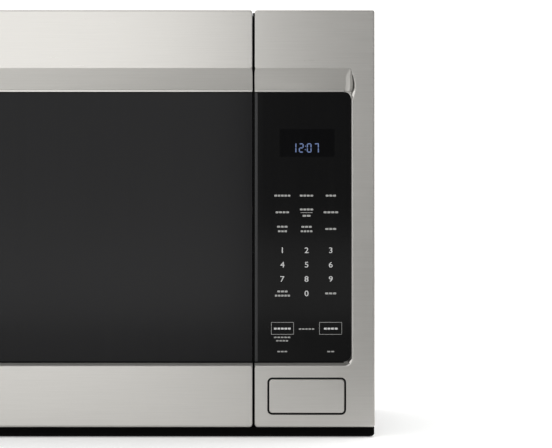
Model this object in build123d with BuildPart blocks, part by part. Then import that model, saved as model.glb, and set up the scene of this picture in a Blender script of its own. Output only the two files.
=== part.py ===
from build123d import *

import os
from math import cos, radians, sin

os.makedirs("parts", exist_ok=True)

# Over-the-range microwave oven with a side-opening door and a push button to open it.
# Millimetres. X runs to the right, the front faces -Y, Z is up.
# The origin is the middle of the footprint, on the lowest face.

# ------------------------------------------------------------------ overall
overall_width = 760.0
overall_depth = 394.0
overall_height = 440.0

# ------------------------------------------------------------------ clearances
seat_gap = 0.2  # moulding inside a steel skin
slide_gap = 0.3  # sliding and lifting pieces
shaft_gap = 0.05  # radial, shaft in its bore
swing_gap = 1.0  # lid or filter in its port

# ------------------------------------------------------------------ front skins
door_thickness = 40.0
flange_gap = 1.0
door_gap = 2.2
control_width = 124.0
front_lift = 10.1
front_sheet = 1.2
front_corner_radius = 3.0
front_edge_radius = 2.2
return_depth = 25.0

# ------------------------------------------------------------------ window recess
upper_band = 60.1
scoop_drop = 24.1
lower_band = 62.6
bevel_drop = 4.3
side_band = 22.5
side_bevel = 1.8
recess_depth = 9.0
glass_corner_radius = 8.0
crescent_bulge = 3.2
crescent_taper = 5.4
crescent_tail = 8.8
pane_thickness = 4.0
pane_lap = 6.0

# ------------------------------------------------------------------ door inside
frame_wall = 2.5
door_rib_pitch = 90.0
door_rib_width = 2.0
window_margin_x = 63.0
window_margin_z = 42.0
choke_reach = 22.0
choke_lap = 4.0
choke_sheet = 0.8
choke_slot_pitch = 26.0
choke_slot_width = 4.0
choke_lip = 7.0
cover_thickness = 1.6
cover_lip = 2.7
screen_lap = 8.0
screen_thickness = 0.6
inner_pane_lap = 26.0
inner_pane_thickness = 1.5

# ------------------------------------------------------------------ hinges
hinge_inset_x = 8.0
hinge_inset_y = 19.0
hinge_notch = 18.0
hinge_notch_width = 35.0
hinge_sheet = 3.0
hinge_arm_width = 11.0
hinge_pin_radius = 3.0
hinge_pin_head = 4.6
hinge_pin_length = 20.0
hinge_boss_radius = 6.0
hinge_foot_width = 36.0
hinge_foot_height = 26.0

# ------------------------------------------------------------------ latch
latch_inset = 11.8
latch_thickness = 5.0
latch_travel = 4.4
hook_height = 16.0
hook_nose = 4.0
hook_reach = 30.0
hook_low_z = 76.0
hook_drop = 137.0
hook_swing = 3.2
latch_bar_depth = 10.0
latch_spring_length = 20.0
latch_spring_radius = 3.2

# ------------------------------------------------------------------ release button
button_width = 77.5
button_height = 34.7
button_gap = 1.85
button_corner_radius = 3.4
button_wall = 1.6
button_skirt = 8.5
button_travel = 4.0
button_inset = 70.3
button_z = 42.1
button_stem_radius = 4.0
button_nose_radius = 1.5
lever_radius = 3.0
lever_inset_y = 7.5
lever_z = 62.0
lever_arm = 20.0
lever_width = 8.0

# ------------------------------------------------------------------ cabinet
case_inset = 1.0
case_drop = 3.0
case_sheet = 0.8
case_bend = 3.0
frame_sheet = 1.0
base_height = 9.6
base_inset = 0.5
base_sheet = 1.0
base_chamfer = 2.5
base_setback = 7.0
base_upstand = 30.0
back_sheet = 0.8
wall_plate_sheet = 1.4
wall_standoff = 4.8
wall_plate_inset = 30.0
wall_plate_bottom = 14.0
wall_plate_drop = 42.0
lag_spacing = 406.4
lag_hole_radius = 3.5
lag_drop = 110.0
tab_spacing = 480.0
tab_width = 40.0
tab_height = 34.0
cabinet_bolt_spacing = 508.0
cabinet_bolt_radius = 3.3
cabinet_bolt_y = -60.0
nut_width = 15.0
nut_height = 6.0

# ------------------------------------------------------------------ oven cavity
cavity_left = 55.0
bay_width = 175.0
cavity_floor = 82.0
hood_space = 108.0
rear_space = 35.0
cavity_sheet = 1.0
cavity_corner = 14.0
track_inset = 4.0
track_drop = 2.0

# ------------------------------------------------------------------ turntable
tray_clearance = 9.0
tray_thickness = 4.5
tray_rim = 11.0
roller_share = 0.7
wheel_radius = 8.0
wheel_width = 6.0
axle_radius = 2.0
axle_gap = 0.1
roller_rest = 0.1
ring_section = 6.0
hub_ring_radius = 19.0
hub_ring_bore = 15.0
lobe_reach = 13.0
lobe_width = 7.0
lobe_height = 4.4
coupler_neck = 6.5
motor_shaft_radius = 3.4
table_motor_radius = 25.0
table_motor_height = 20.0

# ------------------------------------------------------------------ hood blower
blower_inset = 47.0
blower_wheel_radius = 33.0
blower_wheel_width = 54.0
blower_wheel_gap = 36.0
blower_blades = 22
blade_thickness = 0.8
blade_depth = 8.0
scroll_wall = 1.2
scroll_width = 64.0
scroll_growth = 3.4
scroll_gap = 3.0
inlet_radius = 27.0
blower_shaft_radius = 4.0
blower_motor_radius = 30.0
blower_motor_length = 58.0
duct_width = 254.0
duct_depth = 83.0
duct_inset = 100.0
duct_wall = 1.2
duct_height = 17.2
flap_thickness = 1.0
flap_rod_radius = 1.6

# ------------------------------------------------------------------ filters and lamps
grille_inset = 60.0
grille_depth = 34.0
grille_setback = 47.0
grille_height = 9.0
grille_pitch = 22.0
grille_bar = 4.0
grille_lip = 4.0
charcoal_inset = 120.0
charcoal_depth = 12.0
charcoal_setback = 97.0
filter_width = 215.0
filter_depth = 115.0
filter_thickness = 7.4
filter_rim = 9.0
filter_x = 175.0
filter_inset = 29.0
filter_tab = 20.0
filter_bead = 0.8
lid_width = 124.0
lid_depth = 56.0
lid_thickness = 3.0
lid_setback = 113.0
lid_pin_radius = 1.2
lid_pin_inset = 3.0
intake_inset = 80.0
intake_setback = 85.0
intake_slots = 9
intake_pitch = 9.0

# ------------------------------------------------------------------ high-voltage bay
guide_width = 90.0
guide_depth = 40.0
guide_drop = 244.0
guide_height = 134.0
guide_y = 5.0
feed_width = 80.0
feed_height = 46.0
guide_sheet = 1.0
magnetron_width = 92.0
magnetron_height = 74.0
magnetron_length = 62.0
magnetron_fins = 6
fan_inset_x = 88.0
fan_inset_y = 81.0
fan_drop = 188.0
fan_radius = 48.0
fan_duct_radius = 52.0
fan_duct_depth = 26.0
fan_blades = 5
transformer_inset = 68.0
transformer_y = -14.0
transformer_width = 96.0
transformer_depth = 74.0
transformer_height = 84.0
capacitor_inset = 30.0
capacitor_y = 12.0
capacitor_length = 54.0
capacitor_thickness = 32.0
capacitor_height = 92.0

# ------------------------------------------------------------------ control section
housing_wall = 2.4
housing_setback = 4.6
display_width = 66.6
display_height = 36.6
display_inset = 69.8
display_drop = 136.7
display_depth = 12.0
board_margin = 8.0
board_bottom = 95.0
board_drop = 95.0
board_thickness = 1.6

# ------------------------------------------------------------------ planes that pieces share
side_x = overall_width / 2
front_y = -overall_depth / 2
back_y = overall_depth / 2
fascia_left = side_x - control_width
door_right = fascia_left - door_gap
door_left = -side_x
door_back_y = front_y + door_thickness
flange_y = door_back_y + flange_gap
case_front_y = flange_y + frame_sheet

section_x = fascia_left + control_width / 2
button_x = side_x - button_inset
display_x = side_x - display_inset
display_z = overall_height - display_drop
board_top = overall_height - board_drop

seat_y = front_y + recess_depth
pane_back_y = seat_y + pane_thickness
glass_half = side_x - side_band - side_bevel
glass_top = overall_height - upper_band - scoop_drop
glass_bottom = front_lift + lower_band + bevel_drop

case_x = side_x - case_inset
case_in_x = case_x - case_sheet
case_top = overall_height - case_drop
case_under = case_top - case_sheet
plate_rear_y = back_y - wall_plate_sheet - wall_standoff
plate_front_y = plate_rear_y - back_sheet

wall_plate_width = overall_width - 2 * wall_plate_inset
wall_plate_top = overall_height - wall_plate_drop
lag_height = overall_height - lag_drop

cavity_x0 = -side_x + cavity_left
cavity_x1 = side_x - bay_width
cavity_z1 = overall_height - hood_space
cavity_y1 = back_y - rear_space
cavity_depth = cavity_y1 - flange_y
cavity_roof = cavity_z1 + cavity_sheet
bay_x = cavity_x1 + cavity_sheet
table_x = (cavity_x0 + cavity_x1) / 2
table_y = (flange_y + cavity_y1) / 2
track_z = cavity_floor - track_drop
tray_radius = (cavity_y1 - flange_y) / 2 - tray_clearance
track_radius = tray_radius - track_inset
roller_circle = tray_radius * roller_share

frame_x0 = door_left + front_sheet + seat_gap
frame_x1 = door_right - front_sheet - seat_gap
frame_z0 = front_lift + front_sheet + seat_gap
frame_z1 = overall_height - front_sheet - seat_gap
plate_back_y = pane_back_y + frame_wall
cover_front_y = door_back_y - cover_thickness
choke_face_y = door_back_y - cover_lip
window_x0 = cavity_x0 + window_margin_x
window_x1 = cavity_x1 - window_margin_x
window_z0 = cavity_floor + window_margin_z
window_z1 = cavity_z1 - window_margin_z

hinge_x = door_left + hinge_inset_x
hinge_y = front_y + hinge_inset_y
hinge_high = overall_height - hinge_notch
hinge_low = front_lift + hinge_notch
hinge_lift = 0.4

blower_y = back_y - blower_inset
duct_front = back_y - duct_inset
scroll_x = blower_wheel_gap + scroll_width / 2
scroll_top = case_under - duct_height
blower_z = scroll_top - blower_wheel_radius - scroll_gap - scroll_wall - 0.8
lamp_y = cavity_y1 - 24
lamp_z = cavity_z1 - 42

grille_width = overall_width - 2 * grille_inset
grille_front = front_y + grille_setback
charcoal_width = overall_width - 2 * charcoal_inset
charcoal_y = front_y + charcoal_setback
filter_rear = back_y - filter_inset
lid_rear = front_y + lid_setback
intake_x = side_x - intake_inset
intake_y = front_y + intake_setback

guide_bottom = overall_height - guide_drop
fan_x = side_x - fan_inset_x
fan_y = back_y - fan_inset_y
fan_z = overall_height - fan_drop
transformer_x = side_x - transformer_inset
capacitor_x = bay_x + capacitor_inset

hook_x = door_right - latch_inset
hook_high_z = overall_height - hook_drop
hook_tip_y = flange_y + hook_reach
lever_y = flange_y + lever_inset_y


# ------------------------------------------------------------------ drawing helpers
def front_plane(y):
    """Sketch plane that faces the front: its x is X and its y is Z."""
    return Plane(origin=(0, y, 0), x_dir=(1, 0, 0), z_dir=(0, -1, 0))


def side_plane(x):
    """Sketch plane that faces the right: its x is Y and its y is Z."""
    return Plane(origin=(x, 0, 0), x_dir=(0, 1, 0), z_dir=(1, 0, 0))


def panel(u0, u1, v0, v1, radius=0.0, mode=Mode.ADD):
    """Rectangle between two values on each sketch axis."""
    with Locations(((u0 + u1) / 2, (v0 + v1) / 2)):
        if radius > 0:
            RectangleRounded(u1 - u0, v1 - v0, radius, mode=mode)
        else:
            Rectangle(u1 - u0, v1 - v0, mode=mode)


def block(x0, x1, y0, y1, z0, z1, mode=Mode.ADD):
    """Square-edged solid between two values on each axis."""
    with Locations(((x0 + x1) / 2, (y0 + y1) / 2, (z0 + z1) / 2)):
        Box(x1 - x0, y1 - y0, z1 - z0, mode=mode)


def rod(x, y, z, radius, length, along, mode=Mode.ADD):
    """Round bar centred on a point, along one axis."""
    turn = {"x": (0, 90, 0), "y": (90, 0, 0), "z": (0, 0, 0)}[along]
    with Locations((x, y, z)):
        Cylinder(radius, length, rotation=turn, mode=mode)


def tube(x, y, z, outer, bore, length, along):
    """Round bar with a bore right through it."""
    rod(x, y, z, outer, length, along)
    rod(x, y, z, bore, length + 2, along, Mode.SUBTRACT)


def write(builder, name):
    """Name a finished piece and write its file."""
    builder.part.label = name
    export_step(builder.part, "parts/" + name + ".step")


# ------------------------------------------------------------------ the window recess
# One tool runs across door and fascia. Its upper wall is the long scoop, its ends are
# crescents. A grown and sunk copy of it leaves the thickness of the formed sheet.
def scoop_ends(grow, sink):
    """Crescent at both ends of the scoop, cut off along the scoop's floor."""
    run = (recess_depth + sink) / recess_depth
    top = glass_top + scoop_drop * run
    low = glass_top - crescent_tail
    mid = glass_top + scoop_drop * 0.42
    edge = glass_half + side_bevel + grow
    with BuildPart() as ends:
        for y, taper in ((front_y - 1.0, 0.0), (seat_y, 1.0)):
            with BuildSketch(front_plane(y)):
                with BuildLine():
                    shift = taper * crescent_taper
                    low_x = edge - taper * side_bevel
                    a = (edge - crescent_bulge + 0.7 - shift, top)
                    b = (edge + crescent_bulge - shift, mid)
                    c = (low_x, low)
                    ThreePointArc(a, b, c)
                    Polyline(c, (glass_half - 24, low), (glass_half - 24, top), a)
                make_face()
        loft(ruled=True)
        with BuildSketch(side_plane(glass_half - 30)):
            Polygon(
                (front_y - 1.0, low - 1),
                (seat_y, low - 1),
                (seat_y, glass_top + scoop_drop * sink / recess_depth),
                (front_y - 1.0, glass_top + scoop_drop * (recess_depth + 1.0 + sink) / recess_depth),
                align=None,
            )
        extrude(amount=60, mode=Mode.INTERSECT)
        mirror(about=Plane.YZ)
    return ends.part


def window_recess(grow, sink):
    """Recess from the front face down to the seat of the glass."""
    ends = scoop_ends(grow, sink)
    with BuildPart() as tool:
        for y in (front_y - 1.0, seat_y):
            run = (seat_y - y + sink) / recess_depth
            with BuildSketch(front_plane(y)):
                panel(
                    -glass_half - grow - side_bevel * run,
                    glass_half + grow + side_bevel * run,
                    glass_bottom - grow - bevel_drop * run,
                    glass_top + scoop_drop * run,
                    glass_corner_radius,
                )
        loft(ruled=True)
        add(ends)
    return tool.part


def skin_form(x0, x1, inset):
    """Outer or inner form of a pressed front skin."""
    with BuildPart() as form:
        with BuildSketch(front_plane(front_y + inset)):
            panel(
                x0 + inset,
                x1 - inset,
                front_lift + inset,
                overall_height - inset,
                front_corner_radius - inset,
            )
        extrude(amount=-(return_depth if inset == 0 else return_depth + 1))
        fillet(form.faces().sort_by(Axis.Y)[0].edges(), front_edge_radius - inset)
    return form.part


recess = window_recess(0.0, 0.0)
recess_back = window_recess(front_sheet, front_sheet)
door_outer = skin_form(door_left, door_right, 0.0)
door_inner = skin_form(door_left, door_right, front_sheet)
fascia_outer = skin_form(fascia_left, side_x, 0.0)
fascia_inner = skin_form(fascia_left, side_x, front_sheet)

with BuildPart() as door_hollow:
    add(door_inner)
    add(recess_back, mode=Mode.SUBTRACT)

with BuildPart() as fascia_hollow:
    add(fascia_inner)
    add(recess_back, mode=Mode.SUBTRACT)

pane_low = glass_bottom - pane_lap
pane_high = glass_top + pane_lap

# Door skin: scooped front, returns all round, a slot in the edge for the glass and a
# notch at each hinge.
with BuildPart() as door_skin:
    add(door_outer)
    add(recess, mode=Mode.SUBTRACT)
    add(door_hollow.part, mode=Mode.SUBTRACT)
    block(
        door_right - front_sheet - 1,
        door_right + 1,
        seat_y,
        pane_back_y + slide_gap,
        pane_low - slide_gap,
        pane_high + slide_gap,
        Mode.SUBTRACT,
    )
    for z0, z1 in (
        (hinge_high - 1, overall_height - front_sheet),
        (front_lift + front_sheet, hinge_low + 1),
    ):
        block(
            door_left - 1,
            door_left + front_sheet + 0.5,
            front_y + 7,
            front_y + return_depth + 1,
            z0,
            z1,
            Mode.SUBTRACT,
        )
write(door_skin, "door_skin")

# Fascia: the same form, with the port of the release button.
with BuildPart() as control_fascia:
    add(fascia_outer)
    add(recess, mode=Mode.SUBTRACT)
    add(fascia_hollow.part, mode=Mode.SUBTRACT)
    block(
        fascia_left - 1,
        fascia_left + front_sheet + 1,
        seat_y,
        pane_back_y + slide_gap,
        pane_low - slide_gap,
        pane_high + slide_gap,
        Mode.SUBTRACT,
    )
    with BuildSketch(front_plane(front_y - 1)):
        with Locations((button_x, button_z)):
            RectangleRounded(
                button_width + 2 * button_gap,
                button_height + 2 * button_gap,
                button_corner_radius + button_gap,
            )
    extrude(amount=-(front_sheet + 3), mode=Mode.SUBTRACT)
write(control_fascia, "control_fascia")

# ------------------------------------------------------------------ glass
with BuildPart() as door_glass:
    with BuildSketch(front_plane(seat_y)) as door_glass_face:
        panel(-glass_half - pane_lap, door_right, pane_low, pane_high)
        fillet(door_glass_face.vertices().group_by(Axis.X)[0], glass_corner_radius)
    extrude(amount=-pane_thickness)
    chamfer(door_glass.faces().sort_by(Axis.X)[-1].edges().sort_by(Axis.Y)[0], 0.6)
write(door_glass, "door_glass")

with BuildPart() as control_glass:
    with BuildSketch(front_plane(seat_y)) as control_glass_face:
        panel(fascia_left, glass_half + pane_lap, pane_low, pane_high)
        fillet(control_glass_face.vertices().group_by(Axis.X)[-1], glass_corner_radius)
    extrude(amount=-pane_thickness)
    chamfer(control_glass.faces().sort_by(Axis.X)[0].edges().sort_by(Axis.Y)[0], 0.6)
write(control_glass, "control_glass")

# ------------------------------------------------------------------ door frame
# Moulded carrier behind the skin: window plate, deep rim, ribs up to the skin, the two
# hinge bosses, and the guides and spring cup of the latch.
boss_length = hinge_pin_length + 2
guide_gap = latch_thickness / 2 + slide_gap
spring_z0 = hook_high_z + hook_height
bar_depth_y = (plate_back_y + 5.5, plate_back_y + 5.5 + latch_bar_depth)
bar_mid_y = sum(bar_depth_y) / 2
cup_z0 = spring_z0 + latch_spring_length / 2
cup_z1 = spring_z0 + latch_spring_length + latch_travel + 2

with BuildPart() as door_frame:
    with BuildSketch(front_plane(pane_back_y)):
        panel(frame_x0, frame_x1, frame_z0, frame_z1, front_corner_radius - front_sheet)
        panel(window_x0 - 20, window_x1 + 20, window_z0 - 16, window_z1 + 16, 12, Mode.SUBTRACT)
    extrude(amount=-frame_wall)
    with BuildSketch(front_plane(pane_back_y)):
        panel(frame_x0, frame_x1, frame_z0, frame_z1, front_corner_radius - front_sheet)
        panel(
            frame_x0 + frame_wall,
            frame_x1 - frame_wall,
            frame_z0 + frame_wall,
            frame_z1 - frame_wall,
            mode=Mode.SUBTRACT,
        )
    extrude(amount=-(cover_front_y - pane_back_y))
    # ribs that carry the steel above and below the window
    rib_y = front_y + front_sheet + seat_gap
    rib_count = int((frame_x1 - frame_x0 - 60) / door_rib_pitch)
    scoop_top = overall_height - upper_band
    for z0, z1 in (
        (scoop_top + front_sheet * 3 + 4, frame_z1 - 1),
        (frame_z0 + 1, front_lift + lower_band - front_sheet - 4),
    ):
        rib_row = ((frame_x0 + frame_x1) / 2, (rib_y + pane_back_y) / 2, (z0 + z1) / 2)
        with Locations(rib_row):
            with GridLocations(door_rib_pitch, 1, rib_count, 1):
                Box(door_rib_width, pane_back_y - rib_y, z1 - z0)
    # hinge corners are open, with a bored boss beside each
    for z0, z1 in ((hinge_high, frame_z1 + 1), (frame_z0 - 1, hinge_low)):
        block(
            frame_x0 - 1,
            frame_x0 + hinge_notch_width,
            front_y + 8,
            door_back_y + 1,
            z0,
            z1,
            Mode.SUBTRACT,
        )
    for z in (hinge_high - boss_length / 2, hinge_low + boss_length / 2):
        rod(hinge_x, hinge_y, z, hinge_boss_radius, boss_length, "z")
        block(
            frame_x0,
            hinge_x,
            hinge_y - hinge_boss_radius,
            hinge_y + hinge_boss_radius,
            z - boss_length / 2,
            z + boss_length / 2,
        )
        rod(hinge_x, hinge_y, z, hinge_pin_radius + shaft_gap, boss_length + 2, "z", Mode.SUBTRACT)
    # latch bar guides
    for z in (hook_low_z + 44, hook_high_z - 44):
        for side in (-1, 1):
            x0 = hook_x + side * guide_gap
            x1 = x0 + side * 3.0
            block(
                min(x0, x1), max(x0, x1), plate_back_y - 0.5, bar_depth_y[1], z - 6, z + 6
            )
    # cup over the latch spring
    block(
        hook_x - latch_spring_radius - 2.2,
        hook_x + latch_spring_radius + 2.2,
        plate_back_y - 0.5,
        bar_mid_y + latch_spring_radius + 2.2,
        cup_z0,
        cup_z1 + 2,
    )
    rod(
        hook_x,
        bar_mid_y,
        (cup_z0 + cup_z1) / 2 - 1,
        latch_spring_radius + slide_gap,
        cup_z1 - cup_z0 + 2,
        "z",
        Mode.SUBTRACT,
    )
write(door_frame, "door_frame")

# ------------------------------------------------------------------ choke panel
# Inner steel panel: flat window field, channel all round it, and an outer wall cut into
# fingers that turn the leaking wave back.
choke_x0 = cavity_x0 - choke_lap
choke_x1 = cavity_x1 + choke_lap
choke_z0 = cavity_floor - choke_lap
choke_z1 = cavity_z1 + choke_lap
choke_floor_y = plate_back_y
choke_plate_y = choke_face_y - choke_sheet


def choke_outline(out, mode=Mode.ADD):
    """Rectangle round the window field, moved outwards."""
    panel(choke_x0 - out, choke_x1 + out, choke_z0 - out, choke_z1 + out, mode=mode)


with BuildPart() as choke_panel:
    with BuildSketch(front_plane(choke_plate_y)):
        choke_outline(0)
        panel(window_x0, window_x1, window_z0, window_z1, 8, Mode.SUBTRACT)
    extrude(amount=-choke_sheet)
    with BuildSketch(front_plane(choke_floor_y)):
        choke_outline(0)
        choke_outline(-choke_sheet, Mode.SUBTRACT)
    extrude(amount=-(choke_face_y - choke_floor_y))
    with BuildSketch(front_plane(choke_floor_y)):
        choke_outline(choke_reach)
        choke_outline(-choke_sheet - 3, Mode.SUBTRACT)
    extrude(amount=-choke_sheet)
    with BuildSketch(front_plane(choke_floor_y)):
        choke_outline(choke_reach)
        choke_outline(choke_reach - choke_sheet, Mode.SUBTRACT)
    extrude(amount=-(choke_face_y - choke_floor_y))
    with BuildSketch(front_plane(choke_plate_y)):
        choke_outline(choke_reach)
        choke_outline(choke_reach - choke_lip, Mode.SUBTRACT)
    extrude(amount=-choke_sheet)
    slot_y0 = choke_floor_y + 7
    slot_y1 = choke_face_y + 1
    across = int((choke_x1 - choke_x0) / choke_slot_pitch)
    upright = int((choke_z1 - choke_z0) / choke_slot_pitch)
    slot_depth = choke_lip + 1
    for z in (choke_z0 - choke_reach - 1, choke_z1 + choke_reach - choke_lip):
        with Locations(((choke_x0 + choke_x1) / 2, (slot_y0 + slot_y1) / 2, z + slot_depth / 2)):
            with GridLocations(choke_slot_pitch, 1, across, 1):
                Box(choke_slot_width, slot_y1 - slot_y0, slot_depth, mode=Mode.SUBTRACT)
    for x in (choke_x0 - choke_reach - 1, choke_x1 + choke_reach - choke_lip):
        for n in range(upright):
            z = (choke_z0 + choke_z1) / 2 + (n - (upright - 1) / 2) * choke_slot_pitch
            block(
                x,
                x + slot_depth,
                slot_y0,
                slot_y1,
                z - choke_slot_width / 2,
                z + choke_slot_width / 2,
                Mode.SUBTRACT,
            )
write(choke_panel, "choke_panel")

with BuildPart() as window_screen:
    with BuildSketch(front_plane(choke_plate_y - screen_thickness)):
        panel(
            window_x0 - screen_lap,
            window_x1 + screen_lap,
            window_z0 - screen_lap,
            window_z1 + screen_lap,
            6,
        )
    extrude(amount=-screen_thickness)
write(window_screen, "window_screen")

inner_x0 = window_x0 - inner_pane_lap
inner_x1 = window_x1 + inner_pane_lap
inner_z0 = window_z0 - inner_pane_lap
inner_z1 = window_z1 + inner_pane_lap
with BuildPart() as inner_window:
    with BuildSketch(front_plane(choke_face_y)):
        panel(inner_x0, inner_x1, inner_z0, inner_z1, 6)
    extrude(amount=-inner_pane_thickness)
write(inner_window, "inner_window")

# Choke cover: moulded ring over the channel, seated on the rim of the door frame and on
# the window field.
hook_slot = {
    "x0": hook_x - latch_thickness / 2 - 0.8,
    "x1": hook_x + latch_thickness / 2 + hook_swing,
}
hook_span = (-hook_height / 2 - hook_nose - 1, hook_height / 2 + latch_travel + 1)
with BuildPart() as choke_cover:
    with BuildSketch(front_plane(cover_front_y)):
        panel(frame_x0 + 4.4, frame_x1, frame_z0, frame_z1, 2)
        panel(
            inner_x0 - slide_gap,
            inner_x1 + slide_gap,
            inner_z0 - slide_gap,
            inner_z1 + slide_gap,
            6,
            Mode.SUBTRACT,
        )
    extrude(amount=-cover_thickness)
    with BuildSketch(front_plane(choke_face_y)):
        panel(inner_x0 - 4, inner_x1 + 4, inner_z0 - 4, inner_z1 + 4, 6)
        panel(
            inner_x0 - slide_gap,
            inner_x1 + slide_gap,
            inner_z0 - slide_gap,
            inner_z1 + slide_gap,
            6,
            Mode.SUBTRACT,
        )
    extrude(amount=-(cover_lip - 0.2))
    for z in (hook_low_z, hook_high_z):
        block(
            hook_slot["x0"],
            hook_slot["x1"],
            cover_front_y - 1,
            door_back_y + 1,
            z + hook_span[0],
            z + hook_span[1],
            Mode.SUBTRACT,
        )
    for z0, z1 in ((hinge_high, frame_z1 + 1), (frame_z0 - 1, hinge_low)):
        block(
            frame_x0 - 1,
            frame_x0 + hinge_notch_width,
            cover_front_y - 1,
            door_back_y + 1,
            z0,
            z1,
            Mode.SUBTRACT,
        )
write(choke_cover, "choke_cover")

# ------------------------------------------------------------------ latch hooks
bar_z0 = hook_low_z - hook_height / 2
bar_z1 = hook_high_z + hook_height / 2
with BuildPart() as latch_hooks:
    block(
        hook_x - latch_thickness / 2,
        hook_x + latch_thickness / 2,
        bar_depth_y[0],
        bar_depth_y[1],
        bar_z0,
        bar_z1,
    )
    for z in (hook_low_z, hook_high_z):
        with BuildSketch(side_plane(hook_x)):
            Polygon(
                (bar_depth_y[0], z - hook_height / 2),
                (hook_tip_y - 10, z - hook_height / 2),
                (hook_tip_y - 9, z - hook_height / 2 - hook_nose),
                (hook_tip_y - 5, z - hook_height / 2 - hook_nose),
                (hook_tip_y, z - hook_height / 2 + 3),
                (hook_tip_y, z + hook_height / 2 - 2),
                (hook_tip_y - 2, z + hook_height / 2),
                (bar_depth_y[0], z + hook_height / 2),
                align=None,
            )
        extrude(amount=latch_thickness / 2, both=True)
    rod(hook_x, bar_mid_y, bar_z1 + 4, latch_spring_radius - 1.3, 8, "z")
write(latch_hooks, "latch_hooks")

with BuildPart() as latch_spring:
    tube(
        hook_x,
        bar_mid_y,
        bar_z1 + latch_spring_length / 2,
        latch_spring_radius,
        latch_spring_radius - 1.0,
        latch_spring_length,
        "z",
    )
write(latch_spring, "latch_spring")

# ------------------------------------------------------------------ hinges
# A flat arm comes through the front frame at each end of the door and carries the pin.
with BuildPart() as hinge_brackets:
    for z0, out in ((hinge_high + hinge_lift, -1), (hinge_low - hinge_lift - hinge_sheet, 1)):
        with BuildSketch(Plane.XY.offset(z0)):
            panel(
                hinge_x - hinge_arm_width / 2,
                hinge_x + hinge_arm_width / 2,
                hinge_y,
                case_front_y + hinge_sheet,
            )
            with Locations((hinge_x, hinge_y)):
                Circle(hinge_arm_width / 2)
                Circle(hinge_pin_radius, mode=Mode.SUBTRACT)
        extrude(amount=hinge_sheet)
        low = z0 + hinge_sheet - hinge_foot_height if out < 0 else z0
        block(
            hinge_x - hinge_arm_width / 2,
            hinge_x - hinge_arm_width / 2 + hinge_foot_width,
            case_front_y,
            case_front_y + hinge_sheet,
            low,
            low + hinge_foot_height,
        )
write(hinge_brackets, "hinge_brackets")

with BuildPart() as hinge_pins:
    for z, out in ((hinge_high + hinge_lift + hinge_sheet, 1), (hinge_low - hinge_lift - hinge_sheet, -1)):
        rod(
            hinge_x,
            hinge_y,
            z - out * hinge_pin_length / 2,
            hinge_pin_radius,
            hinge_pin_length,
            "z",
        )
        rod(hinge_x, hinge_y, z + out * 1.25, hinge_pin_head, 2.5, "z")
write(hinge_pins, "hinge_pins")

# ------------------------------------------------------------------ oven cavity
# Welded steel box with rounded corners and a dished track in its floor.
with BuildPart() as oven_cavity:
    with BuildSketch(front_plane(flange_y)):
        panel(
            cavity_x0 - cavity_sheet,
            cavity_x1 + cavity_sheet,
            cavity_floor - cavity_sheet,
            cavity_z1 + cavity_sheet,
            cavity_corner + cavity_sheet,
        )
    extrude(amount=-(cavity_depth + cavity_sheet))
    rod(
        table_x,
        table_y,
        (track_z - cavity_sheet + cavity_floor) / 2,
        track_radius + cavity_sheet,
        cavity_floor - track_z + cavity_sheet,
        "z",
    )
    with BuildSketch(front_plane(flange_y - 1)):
        panel(cavity_x0, cavity_x1, cavity_floor, cavity_z1, cavity_corner)
    extrude(amount=-(cavity_depth + 1), mode=Mode.SUBTRACT)
    rod(table_x, table_y, track_z + 5, track_radius, 10, "z", Mode.SUBTRACT)
    rod(table_x, table_y, track_z, coupler_neck + 2.5, 10, "z", Mode.SUBTRACT)
    # opening to the waveguide, lamp holes and steam vents
    block(
        cavity_x1 - 1,
        cavity_x1 + cavity_sheet + 1,
        guide_y - feed_width / 2,
        guide_y + feed_width / 2,
        guide_bottom + 8,
        guide_bottom + 8 + feed_height,
        Mode.SUBTRACT,
    )
    with Locations(Location((cavity_x1, lamp_y, lamp_z), (0, 90, 0))):
        with GridLocations(7, 7, 5, 5):
            Cylinder(2.2, 6, mode=Mode.SUBTRACT)
    with Locations(((cavity_x0 + 60), cavity_y1 - 60, cavity_z1)):
        with GridLocations(9, 9, 6, 3):
            Cylinder(2.5, 6, mode=Mode.SUBTRACT)
write(oven_cavity, "oven_cavity")

# Front frame of the whole cabinet, welded round the mouth of the oven, with the port of
# the control bay, the slots of the hinge arms and the slots of the latch hooks.
bay_port = (fascia_left + 12.0, case_in_x - 10.0, front_lift + 12.0, case_under - 14.0)
with BuildPart() as front_frame:
    with BuildSketch(front_plane(flange_y)):
        panel(-case_in_x, case_in_x, base_height + 0.4, case_under)
        panel(
            cavity_x0 - cavity_sheet,
            cavity_x1 + cavity_sheet,
            cavity_floor - cavity_sheet,
            cavity_z1 + cavity_sheet,
            cavity_corner + cavity_sheet,
            Mode.SUBTRACT,
        )
        panel(bay_port[0], bay_port[1], bay_port[2], bay_port[3], 6, Mode.SUBTRACT)
    extrude(amount=-frame_sheet)
    for z in (hinge_high + hinge_lift, hinge_low - hinge_lift - hinge_sheet):
        block(
            hinge_x - hinge_arm_width / 2 - 0.5,
            hinge_x + hinge_arm_width / 2 + 0.5,
            flange_y - 1,
            case_front_y + 1,
            z - 0.5,
            z + hinge_sheet + 0.5,
            Mode.SUBTRACT,
        )
    for z in (hook_low_z, hook_high_z):
        block(
            hook_slot["x0"],
            hook_slot["x1"],
            flange_y - 1,
            case_front_y + 1,
            z + hook_span[0],
            z + hook_span[1],
            Mode.SUBTRACT,
        )
write(front_frame, "front_frame")

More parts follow.
